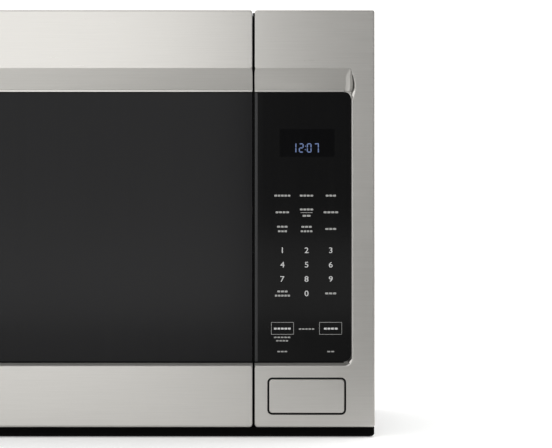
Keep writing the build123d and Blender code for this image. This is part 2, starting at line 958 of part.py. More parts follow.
# ------------------------------------------------------------------ outer case
grille_x = grille_width / 2
grille_back = grille_front + grille_depth
with BuildPart() as outer_case:
    with BuildSketch(front_plane(case_front_y)):
        panel(-case_x, case_x, base_height - 20, case_top, case_bend)
        panel(
            -case_in_x,
            case_in_x,
            base_height - 20 + case_sheet,
            case_under,
            case_bend - case_sheet,
            Mode.SUBTRACT,
        )
        panel(-case_x - 1, case_x + 1, base_height - 30, base_height, mode=Mode.SUBTRACT)
    extrude(amount=-(plate_front_y - case_front_y))
    block(
        -duct_width / 2,
        duct_width / 2,
        duct_front,
        duct_front + duct_depth,
        case_under - 1,
        case_top + 1,
        Mode.SUBTRACT,
    )
    block(
        -grille_x - slide_gap,
        grille_x + slide_gap,
        grille_front - slide_gap,
        grille_back + slide_gap,
        case_under - 1,
        case_top + 1,
        Mode.SUBTRACT,
    )
    with Locations((0, cabinet_bolt_y, case_top)):
        with GridLocations(cabinet_bolt_spacing, 1, 2, 1):
            Cylinder(cabinet_bolt_radius, 6, mode=Mode.SUBTRACT)
write(outer_case, "outer_case")

with BuildPart() as mount_nuts:
    with BuildSketch(Plane.XY.offset(case_under - nut_height)):
        with Locations((0, cabinet_bolt_y)):
            with GridLocations(cabinet_bolt_spacing, 1, 2, 1):
                RegularPolygon(nut_width / 2, 6)
                Circle(cabinet_bolt_radius, mode=Mode.SUBTRACT)
    extrude(amount=nut_height)
write(mount_nuts, "mount_nuts")

# ------------------------------------------------------------------ top vent grille
with BuildPart() as vent_grille:
    with BuildSketch(Plane.XY.offset(case_top - grille_height)):
        panel(-grille_x, grille_x, grille_front, grille_back, 3)
    extrude(amount=grille_height)
    with BuildSketch(Plane.XY.offset(case_under - 1.6)):
        panel(
            -grille_x - grille_lip, grille_x + grille_lip, grille_front - 1.6, grille_back + grille_lip, 3
        )
    extrude(amount=1.6)
    grille_count = int((grille_width - 12) / grille_pitch)
    with BuildSketch(Plane.XY.offset(case_top)):
        with Locations((0, (grille_front + grille_back) / 2)):
            with GridLocations(grille_pitch, 1, grille_count, 1):
                RectangleRounded(grille_pitch - grille_bar, grille_depth - 10, 3)
    extrude(amount=-grille_height, mode=Mode.SUBTRACT)
write(vent_grille, "vent_grille")

with BuildPart() as charcoal_filter:
    with BuildSketch(front_plane(charcoal_y)):
        panel(
            table_x - charcoal_width / 2, table_x + charcoal_width / 2, cavity_roof, case_under
        )
        panel(
            table_x - charcoal_width / 2 + 6,
            table_x + charcoal_width / 2 - 6,
            cavity_roof + 6,
            case_under - 6,
            mode=Mode.SUBTRACT,
        )
    extrude(amount=-charcoal_depth)
    block(
        table_x - charcoal_width / 2 + 6,
        table_x + charcoal_width / 2 - 6,
        charcoal_y + 2,
        charcoal_y + charcoal_depth - 2,
        cavity_roof + 6,
        case_under - 6,
    )
    with Locations((table_x, charcoal_y + 1, (cavity_roof + case_under) / 2)):
        with GridLocations((charcoal_width - 12) / 6, 1, 5, 1):
            Box(2.5, 2, case_under - cavity_roof - 12)
write(charcoal_filter, "charcoal_filter")

# ------------------------------------------------------------------ base plate
# Shallow pan with chamfered lower edges, a closed front apron, upstands inside the case,
# two filter ports with their ducts, the lamp port and the cooling intake.
pan_x = side_x - base_inset
pan_front = front_y + base_setback
pan_inset = base_sheet
port_top = base_sheet + filter_thickness + slide_gap
port_x = (-filter_x, filter_x)
lid_z0 = base_sheet - 0.4
lid_pin_y = lid_rear - lid_pin_inset
lid_pin_z = lid_z0 + lid_thickness / 2
with BuildPart() as pan_hollow:
    with BuildSketch(Plane.XY.offset(base_sheet)):
        panel(
            -pan_x + pan_inset, pan_x - pan_inset, pan_front + pan_inset, plate_rear_y - pan_inset
        )
    extrude(amount=base_height)
    chamfer(pan_hollow.faces().sort_by(Axis.Z)[0].edges(), base_chamfer - 0.6)

with BuildPart() as base_plate:
    with BuildSketch(Plane.XY):
        panel(-pan_x, pan_x, pan_front, plate_rear_y)
    extrude(amount=base_height)
    chamfer(base_plate.faces().sort_by(Axis.Z)[0].edges(), base_chamfer)
    add(pan_hollow.part, mode=Mode.SUBTRACT)
    block(-pan_x, pan_x, pan_front, flange_y - 0.5, base_height - base_sheet, base_height)
    for side in (-1, 1):
        outer = side * (pan_x - 0.2)
        inner = side * (case_in_x - base_sheet)
        block(
            min(outer, inner),
            max(outer, inner),
            case_front_y,
            plate_front_y,
            base_height - base_sheet,
            base_height,
        )
        wall = side * case_in_x
        block(
            min(wall, inner),
            max(wall, inner),
            case_front_y + hinge_sheet + 4,
            plate_front_y,
            base_height - base_sheet,
            base_height + base_upstand,
        )
    for x in port_x:
        half = filter_width / 2 + swing_gap
        y0 = filter_rear - filter_depth - swing_gap
        y1 = filter_rear + swing_gap
        block(x - half - 2, x + half + 2, y0 - 2, y1 + 2, base_sheet, port_top + 1.2)
        block(x - half, x + half, y0, y1, -1, port_top, Mode.SUBTRACT)
        block(x - half + 7, x + half - 7, y0 + 7, y1 - 7, port_top - 1, port_top + 3, Mode.SUBTRACT)
        for tab in (-filter_width / 4, filter_width / 4):
            block(
                x + tab - filter_tab / 2 - 1,
                x + tab + filter_tab / 2 + 1,
                y1 - 1,
                y1 + 3,
                base_sheet + 1.2,
                port_top - 0.4,
                Mode.SUBTRACT,
            )
    block(
        -lid_width / 2 - swing_gap,
        lid_width / 2 + swing_gap,
        lid_rear - lid_depth - swing_gap,
        lid_rear + swing_gap,
        -1,
        base_sheet + 1,
        Mode.SUBTRACT,
    )
    with BuildSketch(Plane.XY.offset(base_sheet)):
        panel(
            -lid_width / 2 - swing_gap - 3,
            lid_width / 2 + swing_gap + 3,
            lid_rear - lid_depth - swing_gap - 3,
            lid_rear + swing_gap + 3,
        )
        panel(
            -lid_width / 2 - swing_gap,
            lid_width / 2 + swing_gap,
            lid_rear - lid_depth - swing_gap,
            lid_rear + swing_gap,
            mode=Mode.SUBTRACT,
        )
    extrude(amount=6)
    for side in (-1, 1):
        rod(
            side * (lid_width / 2 + swing_gap),
            lid_pin_y,
            lid_pin_z,
            lid_pin_radius + shaft_gap,
            6,
            "x",
            Mode.SUBTRACT,
        )
    with Locations((intake_x, intake_y, 0)):
        with GridLocations(intake_pitch, 1, intake_slots, 1):
            Box(3.4, 36, 6, mode=Mode.SUBTRACT)
write(base_plate, "base_plate")

# ------------------------------------------------------------------ grease filters
def grease_filter(x):
    """Framed mesh filter with a bead to swing on, two rear tabs and a front finger notch."""
    z0 = base_sheet
    z1 = base_sheet + filter_thickness
    y0 = filter_rear - filter_depth
    with BuildPart() as body:
        block(x - filter_width / 2, x + filter_width / 2, y0, filter_rear, z0, z1)
        for a, b in ((z0 - 1, z0 + 1.4), (z1 - 1.4, z1 + 1)):
            block(
                x - filter_width / 2 + filter_rim,
                x + filter_width / 2 - filter_rim,
                y0 + filter_rim,
                filter_rear - filter_rim,
                a,
                b,
                Mode.SUBTRACT,
            )
        for tab in (-filter_width / 4, filter_width / 4):
            block(
                x + tab - filter_tab / 2,
                x + tab + filter_tab / 2,
                filter_rear - 1,
                filter_rear + 2.4,
                (z0 + z1) / 2 - 0.8,
                (z0 + z1) / 2 + 0.8,
            )
        rod(x, filter_rear, z0, filter_bead, filter_width, "x")
        rod(x, y0 - 2, z0, 9, 4, "z", Mode.SUBTRACT)
    return body


grease_filter_left = grease_filter(-filter_x)
write(grease_filter_left, "grease_filter_left")
grease_filter_right = grease_filter(filter_x)
write(grease_filter_right, "grease_filter_right")

# Lamp cover: framed lens over the cooktop lamps, on a pin near its rear edge.
with BuildPart() as lamp_cover:
    block(
        -lid_width / 2,
        lid_width / 2,
        lid_rear - lid_depth,
        lid_rear,
        lid_z0,
        lid_z0 + lid_thickness,
    )
    block(
        -lid_width / 2 + 6,
        lid_width / 2 - 6,
        lid_rear - lid_depth + 6,
        lid_rear - 6,
        lid_z0 + 1.6,
        lid_z0 + lid_thickness + 1,
        Mode.SUBTRACT,
    )
    rod(0, lid_pin_y, lid_pin_z, lid_pin_radius, lid_width + 2 * swing_gap + 4, "x")
write(lamp_cover, "lamp_cover")

with BuildPart() as cooktop_lamps:
    for x in (-lid_width / 4, lid_width / 4):
        y = lid_rear - lid_depth / 2
        block(x - 9, x + 9, y - 12, lid_rear + swing_gap + 3, base_sheet + 6, base_sheet + 9)
        rod(x, y + 6, base_sheet + 18, 8, 18, "y")
        block(x - 8, x + 8, y - 3, y + 15, base_sheet + 8, base_sheet + 18)
        rod(x, y - 6, base_sheet + 18, 4.5, 12, "y")
write(cooktop_lamps, "cooktop_lamps")

# ------------------------------------------------------------------ back plate, wall plate
with BuildPart() as back_plate:
    with BuildSketch(front_plane(plate_front_y)):
        panel(-case_x, case_x, base_height, case_top, case_bend)
        for x in (-tab_spacing / 2, tab_spacing / 2):
            panel(
                x - tab_width / 2 - 1,
                x + tab_width / 2 + 1,
                tab_height - 1.5,
                tab_height + 14,
                mode=Mode.SUBTRACT,
            )
    extrude(amount=-back_sheet)
write(back_plate, "back_plate")

with BuildPart() as mounting_plate:
    wall_y = back_y - wall_plate_sheet
    with BuildSketch(front_plane(wall_y)):
        panel(
            -wall_plate_width / 2, wall_plate_width / 2, wall_plate_bottom, wall_plate_top, 10
        )
        for x in (-wall_plate_width / 3.2, 0, wall_plate_width / 3.2):
            panel(x - 78, x + 78, wall_plate_bottom + 96, lag_height - 36, 12, Mode.SUBTRACT)
        with Locations((0, lag_height)):
            with GridLocations(lag_spacing, 1, 2, 1):
                Circle(lag_hole_radius, mode=Mode.SUBTRACT)
        for z in (wall_plate_bottom + 72, wall_plate_top - 26):
            with Locations((0, z)):
                with GridLocations(wall_plate_width / 7, 1, 6, 1):
                    SlotOverall(18, 6, mode=Mode.SUBTRACT)
    extrude(amount=-wall_plate_sheet)
    for x in (-wall_plate_width / 2 + 30, wall_plate_width / 2 - 30):
        for z in (wall_plate_bottom + 30, wall_plate_top - 56):
            with BuildSketch(front_plane(wall_y)):
                with Locations((x, z)):
                    Circle(16)
            with BuildSketch(front_plane(plate_rear_y)):
                with Locations((x, z)):
                    Circle(11)
            loft()
            rod(x, back_y, z, 9, 2 * (wall_plate_sheet + wall_standoff - 1.2), "y", Mode.SUBTRACT)
    for x in (-tab_spacing / 2, tab_spacing / 2):
        block(
            x - tab_width / 2,
            x + tab_width / 2,
            plate_front_y - 4,
            wall_y,
            tab_height,
            tab_height + wall_plate_sheet,
        )
        block(
            x - tab_width / 2,
            x + tab_width / 2,
            plate_front_y - 4,
            plate_front_y - 4 + wall_plate_sheet,
            tab_height,
            tab_height + 11,
        )
write(mounting_plate, "mounting_plate")

# ------------------------------------------------------------------ turntable
wheel_z = track_z + roller_rest + wheel_radius
tray_z = wheel_z + wheel_radius + roller_rest
with BuildPart() as glass_tray:
    with BuildSketch(Plane.XZ) as tray_profile:
        with BuildLine():
            Polyline(
                (0, 0),
                (tray_radius - 18, 0),
                (tray_radius - 8, 3),
                (tray_radius, tray_rim),
                (tray_radius - 4, tray_rim),
                (tray_radius - 11, 3 + tray_thickness * 0.8),
                (tray_radius - 19, tray_thickness),
                (0, tray_thickness),
                close=True,
            )
        make_face()
    revolve(axis=Axis.Z)
    with BuildSketch(Plane.XY.offset(-lobe_height + 0.6)):
        with PolarLocations(lobe_reach - 1.5, 3, start_angle=30):
            Rectangle(6, 5)
    extrude(amount=lobe_height - 0.6)
glass_tray.part.position = (table_x, table_y, tray_z)
write(glass_tray, "glass_tray")

lobe_z0 = tray_z - slide_gap - lobe_height
with BuildPart() as turntable_coupler:
    with BuildSketch(Plane.XY.offset(lobe_z0)):
        Circle(coupler_neck)
        with PolarLocations(lobe_reach / 2, 3, start_angle=90):
            Rectangle(lobe_reach, lobe_width)
    extrude(amount=lobe_height)
    with BuildSketch(Plane.XY.offset(track_z + 0.6)):
        Circle(coupler_neck)
    extrude(amount=lobe_z0 - track_z)
    with BuildSketch(Plane.XY.offset(track_z - 14)):
        Circle(motor_shaft_radius)
    extrude(amount=16)
turntable_coupler.part.position = (table_x, table_y, 0)
write(turntable_coupler, "turntable_coupler")

with BuildPart() as turntable_motor:
    motor_top = track_z - cavity_sheet
    rod(
        table_x,
        table_y,
        motor_top - table_motor_height / 2,
        table_motor_radius,
        table_motor_height,
        "z",
    )
    for side in (-1, 1):
        block(
            table_x + side * (table_motor_radius + 4) - 7,
            table_x + side * (table_motor_radius + 4) + 7,
            table_y - 8,
            table_y + 8,
            motor_top - 1.2,
            motor_top,
        )
    block(
        table_x - 9,
        table_x + 9,
        table_y - table_motor_radius - 9,
        table_y,
        motor_top - table_motor_height,
        motor_top - 5,
    )
    rod(table_x, table_y, motor_top, motor_shaft_radius + shaft_gap, 32, "z", Mode.SUBTRACT)
write(turntable_motor, "turntable_motor")

ring_outer = roller_circle - wheel_width / 2 - 3.6
with BuildPart() as roller_ring:
    with BuildSketch(Plane.XY.offset(wheel_z - ring_section / 2)):
        Circle(ring_outer)
        Circle(ring_outer - ring_section, mode=Mode.SUBTRACT)
        Circle(hub_ring_radius)
        Circle(hub_ring_bore, mode=Mode.SUBTRACT)
        with PolarLocations((hub_ring_bore + ring_outer) / 2, 3, start_angle=60):
            Rectangle(ring_outer - hub_ring_bore - 6, 6)
        Circle(hub_ring_bore, mode=Mode.SUBTRACT)
    extrude(amount=ring_section)
    for n in range(3):
        turn = 120 * n
        with Locations(Location((0, 0, wheel_z), (0, 0, turn))):
            with Locations(Location((ring_outer + 1.4, 0, 0), (0, 90, 0))):
                Cylinder(3.6, 3.6)
            with Locations(Location((roller_circle, 0, 0), (0, 90, 0))):
                Cylinder(axle_radius, wheel_width + 6)
            with Locations(Location((roller_circle + wheel_width / 2 + 1.4, 0, 0), (0, 90, 0))):
                Cylinder(3.0, 2.0)
roller_ring.part.position = (table_x, table_y, 0)
write(roller_ring, "roller_ring")


def roller_wheel(turn):
    """Wheel on one stub axle of the roller ring."""
    with BuildPart() as wheel:
        with Locations(Location((roller_circle, 0, wheel_z), (0, 90, 0))):
            Cylinder(wheel_radius, wheel_width)
            Cylinder(axle_radius + axle_gap, wheel_width + 2, mode=Mode.SUBTRACT)
        chamfer(wheel.edges().filter_by(GeomType.CIRCLE).sort_by(SortBy.RADIUS)[-2:], 0.8)
    wheel.part.orientation = (0, 0, turn)
    wheel.part.position = (table_x, table_y, 0)
    return wheel


roller_wheel_1 = roller_wheel(0)
write(roller_wheel_1, "roller_wheel_1")
roller_wheel_2 = roller_wheel(120)
write(roller_wheel_2, "roller_wheel_2")
roller_wheel_3 = roller_wheel(240)
write(roller_wheel_3, "roller_wheel_3")

# ------------------------------------------------------------------ release button
button_z0 = button_z - button_height / 2
button_z1 = button_z + button_height / 2
housing_y = pane_back_y + 0.6
stem_end = lever_y - lever_radius + 0.5 - 0.4
with BuildPart() as release_button:
    with BuildSketch(front_plane(front_y)):
        with Locations((button_x, button_z)):
            RectangleRounded(button_width, button_height, button_corner_radius)
    extrude(amount=-button_skirt)
    fillet(release_button.faces().sort_by(Axis.Y)[0].edges(), 0.9)
    with BuildSketch(front_plane(front_y + button_wall)):
        with Locations((button_x, button_z)):
            RectangleRounded(
                button_width - 2 * button_wall,
                button_height - 2 * button_wall,
                button_corner_radius - button_wall,
            )
    extrude(amount=-button_skirt, mode=Mode.SUBTRACT)
    stem_y0 = front_y + button_wall - 0.2
    stem_y1 = stem_end - 6
    rod(button_x, (stem_y0 + stem_y1) / 2, button_z, button_stem_radius, stem_y1 - stem_y0, "y")
    rod(button_x, stem_end - 3.5, button_z, button_nose_radius, 7, "y")
    for side in (-1, 1):
        rod(button_x + side * 26, stem_y0 + 12, button_z, 2.5, 24, "y")
write(release_button, "release_button")

spring_y0 = front_y + button_wall
spring_y1 = housing_y + 1.4
with BuildPart() as release_spring:
    tube(
        button_x,
        (spring_y0 + spring_y1) / 2,
        button_z,
        button_stem_radius + 2.0,
        button_stem_radius + 0.6,
        spring_y1 - spring_y0,
        "y",
    )
write(release_spring, "release_spring")

# ------------------------------------------------------------------ control housing
hx0 = fascia_left + front_sheet + seat_gap
hx1 = side_x - front_sheet - seat_gap
lug_x = button_x + 9.0
with BuildPart() as control_housing:
    with BuildSketch(front_plane(housing_y)):
        panel(hx0, hx1, frame_z0, frame_z1, front_corner_radius - front_sheet)
        panel(
            display_x - display_width / 2 - slide_gap,
            display_x + display_width / 2 + slide_gap,
            display_z - display_height / 2 - slide_gap,
            display_z + display_height / 2 + slide_gap,
            mode=Mode.SUBTRACT,
        )
    extrude(amount=-housing_wall)
    with BuildSketch(front_plane(housing_y)):
        panel(hx0, hx1, frame_z0, frame_z1, front_corner_radius - front_sheet)
        panel(
            hx0 + housing_wall,
            hx1 - housing_wall,
            frame_z0 + housing_wall,
            frame_z1 - housing_wall,
            mode=Mode.SUBTRACT,
        )
    extrude(amount=-(flange_y - housing_y))
    # ribs up to the steel above and below the glass
    control_rib_y = front_y + front_sheet + seat_gap
    for x in (hx0 + 20, (hx0 + hx1) / 2, hx1 - 20):
        block(
            x - 1,
            x + 1,
            control_rib_y,
            housing_y,
            overall_height - upper_band + front_sheet * 3 + 4,
            frame_z1 - 1,
        )
    # sleeve and guides of the button, with a counterbore for its spring
    rod(button_x, housing_y + 7, button_z, button_stem_radius + 5, 14, "y")
    for side in (-1, 1):
        rod(button_x + side * 26, housing_y + 5, button_z, 5, 10, "y")
        rod(button_x + side * 26, housing_y + 5, button_z, 2.5 + slide_gap, 30, "y", Mode.SUBTRACT)
    rod(button_x, housing_y + 7, button_z, button_stem_radius + slide_gap, 30, "y", Mode.SUBTRACT)
    rod(
        button_x,
        housing_y + 3,
        button_z,
        button_stem_radius + 2.6,
        8 + button_travel,
        "y",
        Mode.SUBTRACT,
    )
    # bearing lug of the release lever and bosses of the board
    block(
        lug_x,
        lug_x + 3,
        housing_y + 1,
        lever_y + lever_radius + 4,
        lever_z - 9,
        lever_z + 9,
    )
    rod(lug_x, lever_y, lever_z, lever_radius + shaft_gap, 12, "x", Mode.SUBTRACT)
    for x in (hx0 + board_margin + 4, hx1 - board_margin - 4):
        for z in (board_bottom + 8, board_top - 8):
            rod(x, housing_y + (display_depth - 0.6) / 2, z, 3.5, display_depth - 0.6, "y")
write(control_housing, "control_housing")

board_y = pane_back_y + display_depth
with BuildPart() as display_module:
    block(
        display_x - display_width / 2,
        display_x + display_width / 2,
        pane_back_y,
        board_y,
        display_z - display_height / 2,
        display_z + display_height / 2,
    )
write(display_module, "display_module")

with BuildPart() as control_board:
    block(
        hx0 + board_margin,
        hx1 - board_margin,
        board_y,
        board_y + board_thickness,
        board_bottom,
        board_top,
    )
    board_face = board_y + board_thickness
    board_tall = board_top - board_bottom
    for offset, share, w, h, d in (
        (-32, 0.9, 22, 16, 13),
        (0, 0.9, 22, 16, 13),
        (32, 0.892, 16, 20, 12),
        (-30, 0.748, 30, 26, 15),
        (20, 0.716, 34, 12, 6),
        (12, 0.564, 26, 26, 3),
        (-34, 0.524, 12, 30, 9),
        (-18, 0.3, 40, 10, 8),
        (28, 0.26, 10, 40, 8),
    ):
        x = section_x + offset
        z = board_bottom + share * board_tall
        block(x - w / 2, x + w / 2, board_face, board_face + d, z - h / 2, z + h / 2)
    for offset, share in ((-42, 0.404), (-26, 0.148), (4, 0.148), (22, 0.444)):
        rod(section_x + offset, board_face + 6, board_bottom + share * board_tall, 5, 12, "y")
write(control_board, "control_board")

# ------------------------------------------------------------------ release lever
# Cranked shaft: the button pushes the hanging arm back and the rear arm lifts the hook.
shaft_x0 = hook_x - 4
shaft_x1 = lug_x + 4
with BuildPart() as release_lever:
    rod((shaft_x0 + shaft_x1) / 2, lever_y, lever_z, lever_radius, shaft_x1 - shaft_x0, "x")
    block(
        button_x - lever_width / 2,
        button_x + lever_width / 2,
        lever_y - lever_radius + 0.5,
        lever_y + lever_radius - 0.5,
        lever_z - lever_arm - 4,
        lever_z,
    )
    block(
        hook_x - lever_width / 2,
        hook_x + lever_width / 2,
        lever_y,
        lever_y + 20.5,
        lever_z - 2.4,
        hook_low_z - hook_height / 2 - hook_nose - 0.4,
    )
write(release_lever, "release_lever")

# ------------------------------------------------------------------ latch board, switches
switch_long = 27.8
switch_deep = 15.9
switch_tall = 10.3
switch_y0 = hook_tip_y + 1.7
switch_y1 = switch_y0 + switch_deep
switch_step = switch_tall / 2 + 0.1
switch_stack = (hook_low_z, hook_high_z - switch_step, hook_high_z + switch_step)
wall_x = hook_x + switch_long / 2 + 0.3
shelf_z = (hook_low_z - switch_tall / 2, hook_high_z - switch_step - switch_tall / 2)
with BuildPart() as latch_board:
    block(
        hook_x - switch_long / 2 - 2,
        wall_x + 2.5,
        case_front_y,
        case_front_y + 2.5,
        lever_z - 10,
        hook_high_z + 24,
    )
    block(
        wall_x,
        wall_x + 2.5,
        case_front_y,
        switch_y1 + 4,
        lever_z - 10,
        hook_high_z + 24,
    )
    for top, tall in ((shelf_z[0], switch_tall), (shelf_z[1], 2 * switch_tall)):
        block(
            hook_x - switch_long / 2 - 2,
            wall_x,
            switch_y0 - 0.5,
            switch_y1 + 4,
            top - 2.5,
            top,
        )
        for side in (-1, 1):
            rod(hook_x + side * 11, switch_y0 + 10, top + tall / 2, 1.4, tall, "z")
    rod(wall_x, lever_y, lever_z, lever_radius + shaft_gap, 12, "x", Mode.SUBTRACT)
    rod(
        hook_x, lever_y, lever_z - 3, lever_radius + 6, 2 * lever_width, "x", Mode.SUBTRACT
    )
    for z in (hook_low_z, hook_high_z):
        block(
            hook_slot["x0"] - 1,
            hook_slot["x1"] + 1,
            case_front_y - 1,
            case_front_y + 4,
            z + hook_span[0] - 1,
            z + hook_span[1] + 1,
            Mode.SUBTRACT,
        )
write(latch_board, "latch_board")

plunger_radius = 1.4
with BuildPart() as interlock_switches:
    for z in switch_stack:
        block(
            hook_x - switch_long / 2,
            hook_x + switch_long / 2,
            switch_y0,
            switch_y1,
            z - switch_tall / 2,
            z + switch_tall / 2,
        )
        for side in (-1, 1):
            rod(hook_x + side * 11, switch_y0 + 10, z, 1.5, switch_tall + 2, "z", Mode.SUBTRACT)
            block(
                hook_x + side * 9 - 3,
                hook_x + side * 9 + 3,
                switch_y1 - 1,
                switch_y1 + 7,
                z - 0.4,
                z + 0.4,
            )
        rod(hook_x, switch_y0, z, plunger_radius + shaft_gap, 10, "y", Mode.SUBTRACT)
write(interlock_switches, "interlock_switches")

with BuildPart() as switch_buttons:
    for z in switch_stack:
        y0 = hook_tip_y + slide_gap
        rod(hook_x, y0 + 2.5, z, plunger_radius, 5, "y")
write(switch_buttons, "switch_buttons")

# ------------------------------------------------------------------ waveguide, magnetron
guide_x1 = bay_x + guide_depth
with BuildPart() as waveguide:
    with BuildSketch(side_plane(bay_x)):
        panel(
            guide_y - guide_width / 2,
            guide_y + guide_width / 2,
            guide_bottom,
            guide_bottom + guide_height,
        )
    extrude(amount=guide_depth)
    block(
        bay_x - 1,
        guide_x1 - guide_sheet,
        guide_y - guide_width / 2 + guide_sheet,
        guide_y + guide_width / 2 - guide_sheet,
        guide_bottom + guide_sheet,
        guide_bottom + guide_height - guide_sheet,
        Mode.SUBTRACT,
    )
    rod(guide_x1, guide_y, guide_bottom + guide_height - 40, 15.5, 6, "x", Mode.SUBTRACT)
    with BuildSketch(side_plane(bay_x)):
        panel(
            guide_y - guide_width / 2 - 8,
            guide_y + guide_width / 2 + 8,
            guide_bottom - 8,
            guide_bottom + guide_height,
        )
        panel(
            guide_y - guide_width / 2 + 0.5,
            guide_y + guide_width / 2 - 0.5,
            guide_bottom + 0.5,
            guide_bottom + guide_height - 0.5,
            mode=Mode.SUBTRACT,
        )
    extrude(amount=guide_sheet)
write(waveguide, "waveguide")

with BuildPart() as waveguide_cover:
    block(
        cavity_x1 - 0.5,
        cavity_x1,
        guide_y - feed_width / 2 - 8,
        guide_y + feed_width / 2 + 8,
        guide_bottom,
        guide_bottom + feed_height + 16,
    )
write(waveguide_cover, "waveguide_cover")

tube_z = guide_bottom + guide_height - 40
yoke_x0 = guide_x1 + 2
yoke_x1 = yoke_x0 + magnetron_length
with BuildPart() as magnetron:
    with BuildSketch(side_plane(guide_x1)):
        with Locations((guide_y, tube_z)):
            Rectangle(magnetron_width, magnetron_height)
    extrude(amount=2)
    # open yoke, cooling fins round the anode, antenna, filter box
    with BuildSketch(side_plane(yoke_x0)):
        with Locations((guide_y, tube_z)):
            Rectangle(magnetron_width - 16, magnetron_height - 4)
            Rectangle(magnetron_width - 20, magnetron_height - 8, mode=Mode.SUBTRACT)
    extrude(amount=magnetron_length)
    rod((yoke_x0 + yoke_x1) / 2, guide_y, tube_z, 19, magnetron_length, "x")
    fin_pitch = (magnetron_length - 22) / (magnetron_fins - 1)
    with Locations(((yoke_x0 + yoke_x1) / 2, guide_y, tube_z)):
        with GridLocations(fin_pitch, 1, magnetron_fins, 1):
            Box(0.8, magnetron_width - 19, magnetron_height - 7)
    rod(guide_x1 - 10, guide_y, tube_z, 8, 22, "x")
    block(
        yoke_x1,
        yoke_x1 + 34,
        guide_y - 30,
        guide_y + 30,
        tube_z - 26,
        tube_z + 26,
    )
    block(yoke_x1 + 8, yoke_x1 + 26, guide_y - 38, guide_y - 30, tube_z - 9, tube_z + 9)
write(magnetron, "magnetron")

# ------------------------------------------------------------------ transformer, capacitor
with BuildPart() as high_voltage_transformer:
    tx0 = transformer_x - transformer_width / 2
    tx1 = transformer_x + transformer_width / 2
    ty0 = transformer_y - transformer_depth / 2
    ty1 = transformer_y + transformer_depth / 2
    block(tx0 - 8, tx1 + 8, ty0 + 12, ty1 - 12, base_sheet, base_sheet + 2.5)
    block(tx0, tx1, ty0 + 16, ty1 - 16, base_sheet + 2.5, base_sheet + transformer_height)
    for z, h, out in ((26, 34, 0), (58, 18, 3)):
        with BuildSketch(Plane.XY.offset(base_sheet + z - h / 2)):
            with Locations((transformer_x, transformer_y)):
                RectangleRounded(transformer_width - 30, transformer_depth - out * 2, 12)
        extrude(amount=h)
write(high_voltage_transformer, "high_voltage_transformer")

with BuildPart() as high_voltage_capacitor:
    with BuildSketch(Plane.XY.offset(base_sheet)):
        with Locations((capacitor_x, capacitor_y)):
            SlotOverall(capacitor_length, capacitor_thickness, rotation=90)
    extrude(amount=capacitor_height)
    with BuildSketch(Plane.XY.offset(base_sheet + 34)):
        with Locations((capacitor_x, capacitor_y)):
            SlotOverall(capacitor_length + 2, capacitor_thickness + 2, rotation=90)
    extrude(amount=14)
    clip_x = capacitor_x - capacitor_thickness / 2 - 1
    block(clip_x, clip_x + 1.5, capacitor_y - 44, capacitor_y, base_sheet, base_sheet + 48)
    terminal_z = base_sheet + capacitor_height + 4
    for side in (-1, 1):
        rod(capacitor_x, capacitor_y + side * 11, terminal_z, 4, 8, "z")
        block(
            capacitor_x - 3,
            capacitor_x + 3,
            capacitor_y + side * 11 - 0.4,
            capacitor_y + side * 11 + 0.4,
            terminal_z + 3,
            terminal_z + 11,
        )
write(high_voltage_capacitor, "high_voltage_capacitor")

# ------------------------------------------------------------------ cooling fan
with BuildPart() as fan_shroud:
    half_depth = fan_duct_depth / 2
    with BuildSketch(front_plane(fan_y - half_depth)):
        panel(bay_x, case_in_x, fan_z - 66, fan_z + 66)
        with Locations((fan_x, fan_z)):
            Circle(fan_duct_radius, mode=Mode.SUBTRACT)
    extrude(amount=-1.6)
    with BuildSketch(front_plane(fan_y - half_depth)):
        with Locations((fan_x, fan_z)):
            Circle(fan_duct_radius + 2)
            Circle(fan_duct_radius, mode=Mode.SUBTRACT)
    extrude(amount=-fan_duct_depth)
    # three arms behind the fan carry the motor
    with BuildSketch(front_plane(fan_y + half_depth - 3)):
        with Locations((fan_x, fan_z)):
            Circle(16)
            with PolarLocations((fan_duct_radius + 12) / 2, 3, start_angle=90):
                Rectangle(fan_duct_radius - 11, 7)
            Circle(6, mode=Mode.SUBTRACT)
    extrude(amount=-3)
write(fan_shroud, "fan_shroud")

motor_y0 = fan_y + fan_duct_depth / 2
with BuildPart() as cooling_fan_motor:
    block(fan_x - 30, fan_x + 30, motor_y0 + 4, motor_y0 + 20, fan_z - 30, fan_z + 24)
    rod(fan_x, motor_y0 + 12, fan_z, 15, 24, "y")
    block(fan_x - 18, fan_x + 18, motor_y0, motor_y0 + 26, fan_z - 48, fan_z - 26)
    rod(fan_x, motor_y0 + 12, fan_z, 2.5 + shaft_gap, 60, "y", Mode.SUBTRACT)
write(cooling_fan_motor, "cooling_fan_motor")

with BuildPart() as cooling_fan:
    rod(fan_x, fan_y - 2, fan_z, 12, 18, "y")
    rod(fan_x, fan_y + 17, fan_z, 2.5, 36, "y")
    for n in range(fan_blades):
        turn = 360 / fan_blades * n
        with Locations(Location((fan_x, fan_y - 2, fan_z), (0, turn, 0))):
            with Locations(Location((0, 0, (fan_radius + 9) / 2), (0, 0, 32))):
                Box(30, 1.4, fan_radius - 9)
write(cooling_fan, "cooling_fan")

# ------------------------------------------------------------------ small bay pieces
with BuildPart() as noise_filter_board:
    nx = bay_x + 6
    block(nx, nx + 1.6, cavity_y1 - 90, cavity_y1 - 20, 104, 168)
    for y in (cavity_y1 - 84, cavity_y1 - 26):
        for z in (110, 162):
            rod(bay_x + 3, y, z, 3, 6, "x")
    rod(nx + 7, cavity_y1 - 55, 146, 13, 11, "x")
    rod(nx + 7, cavity_y1 - 55, 146, 6, 13, "x", Mode.SUBTRACT)
    block(nx + 1, nx + 14, cavity_y1 - 84, cavity_y1 - 60, 108, 124)
    block(nx + 1, nx + 12, cavity_y1 - 52, cavity_y1 - 28, 108, 118)
write(noise_filter_board, "noise_filter_board")

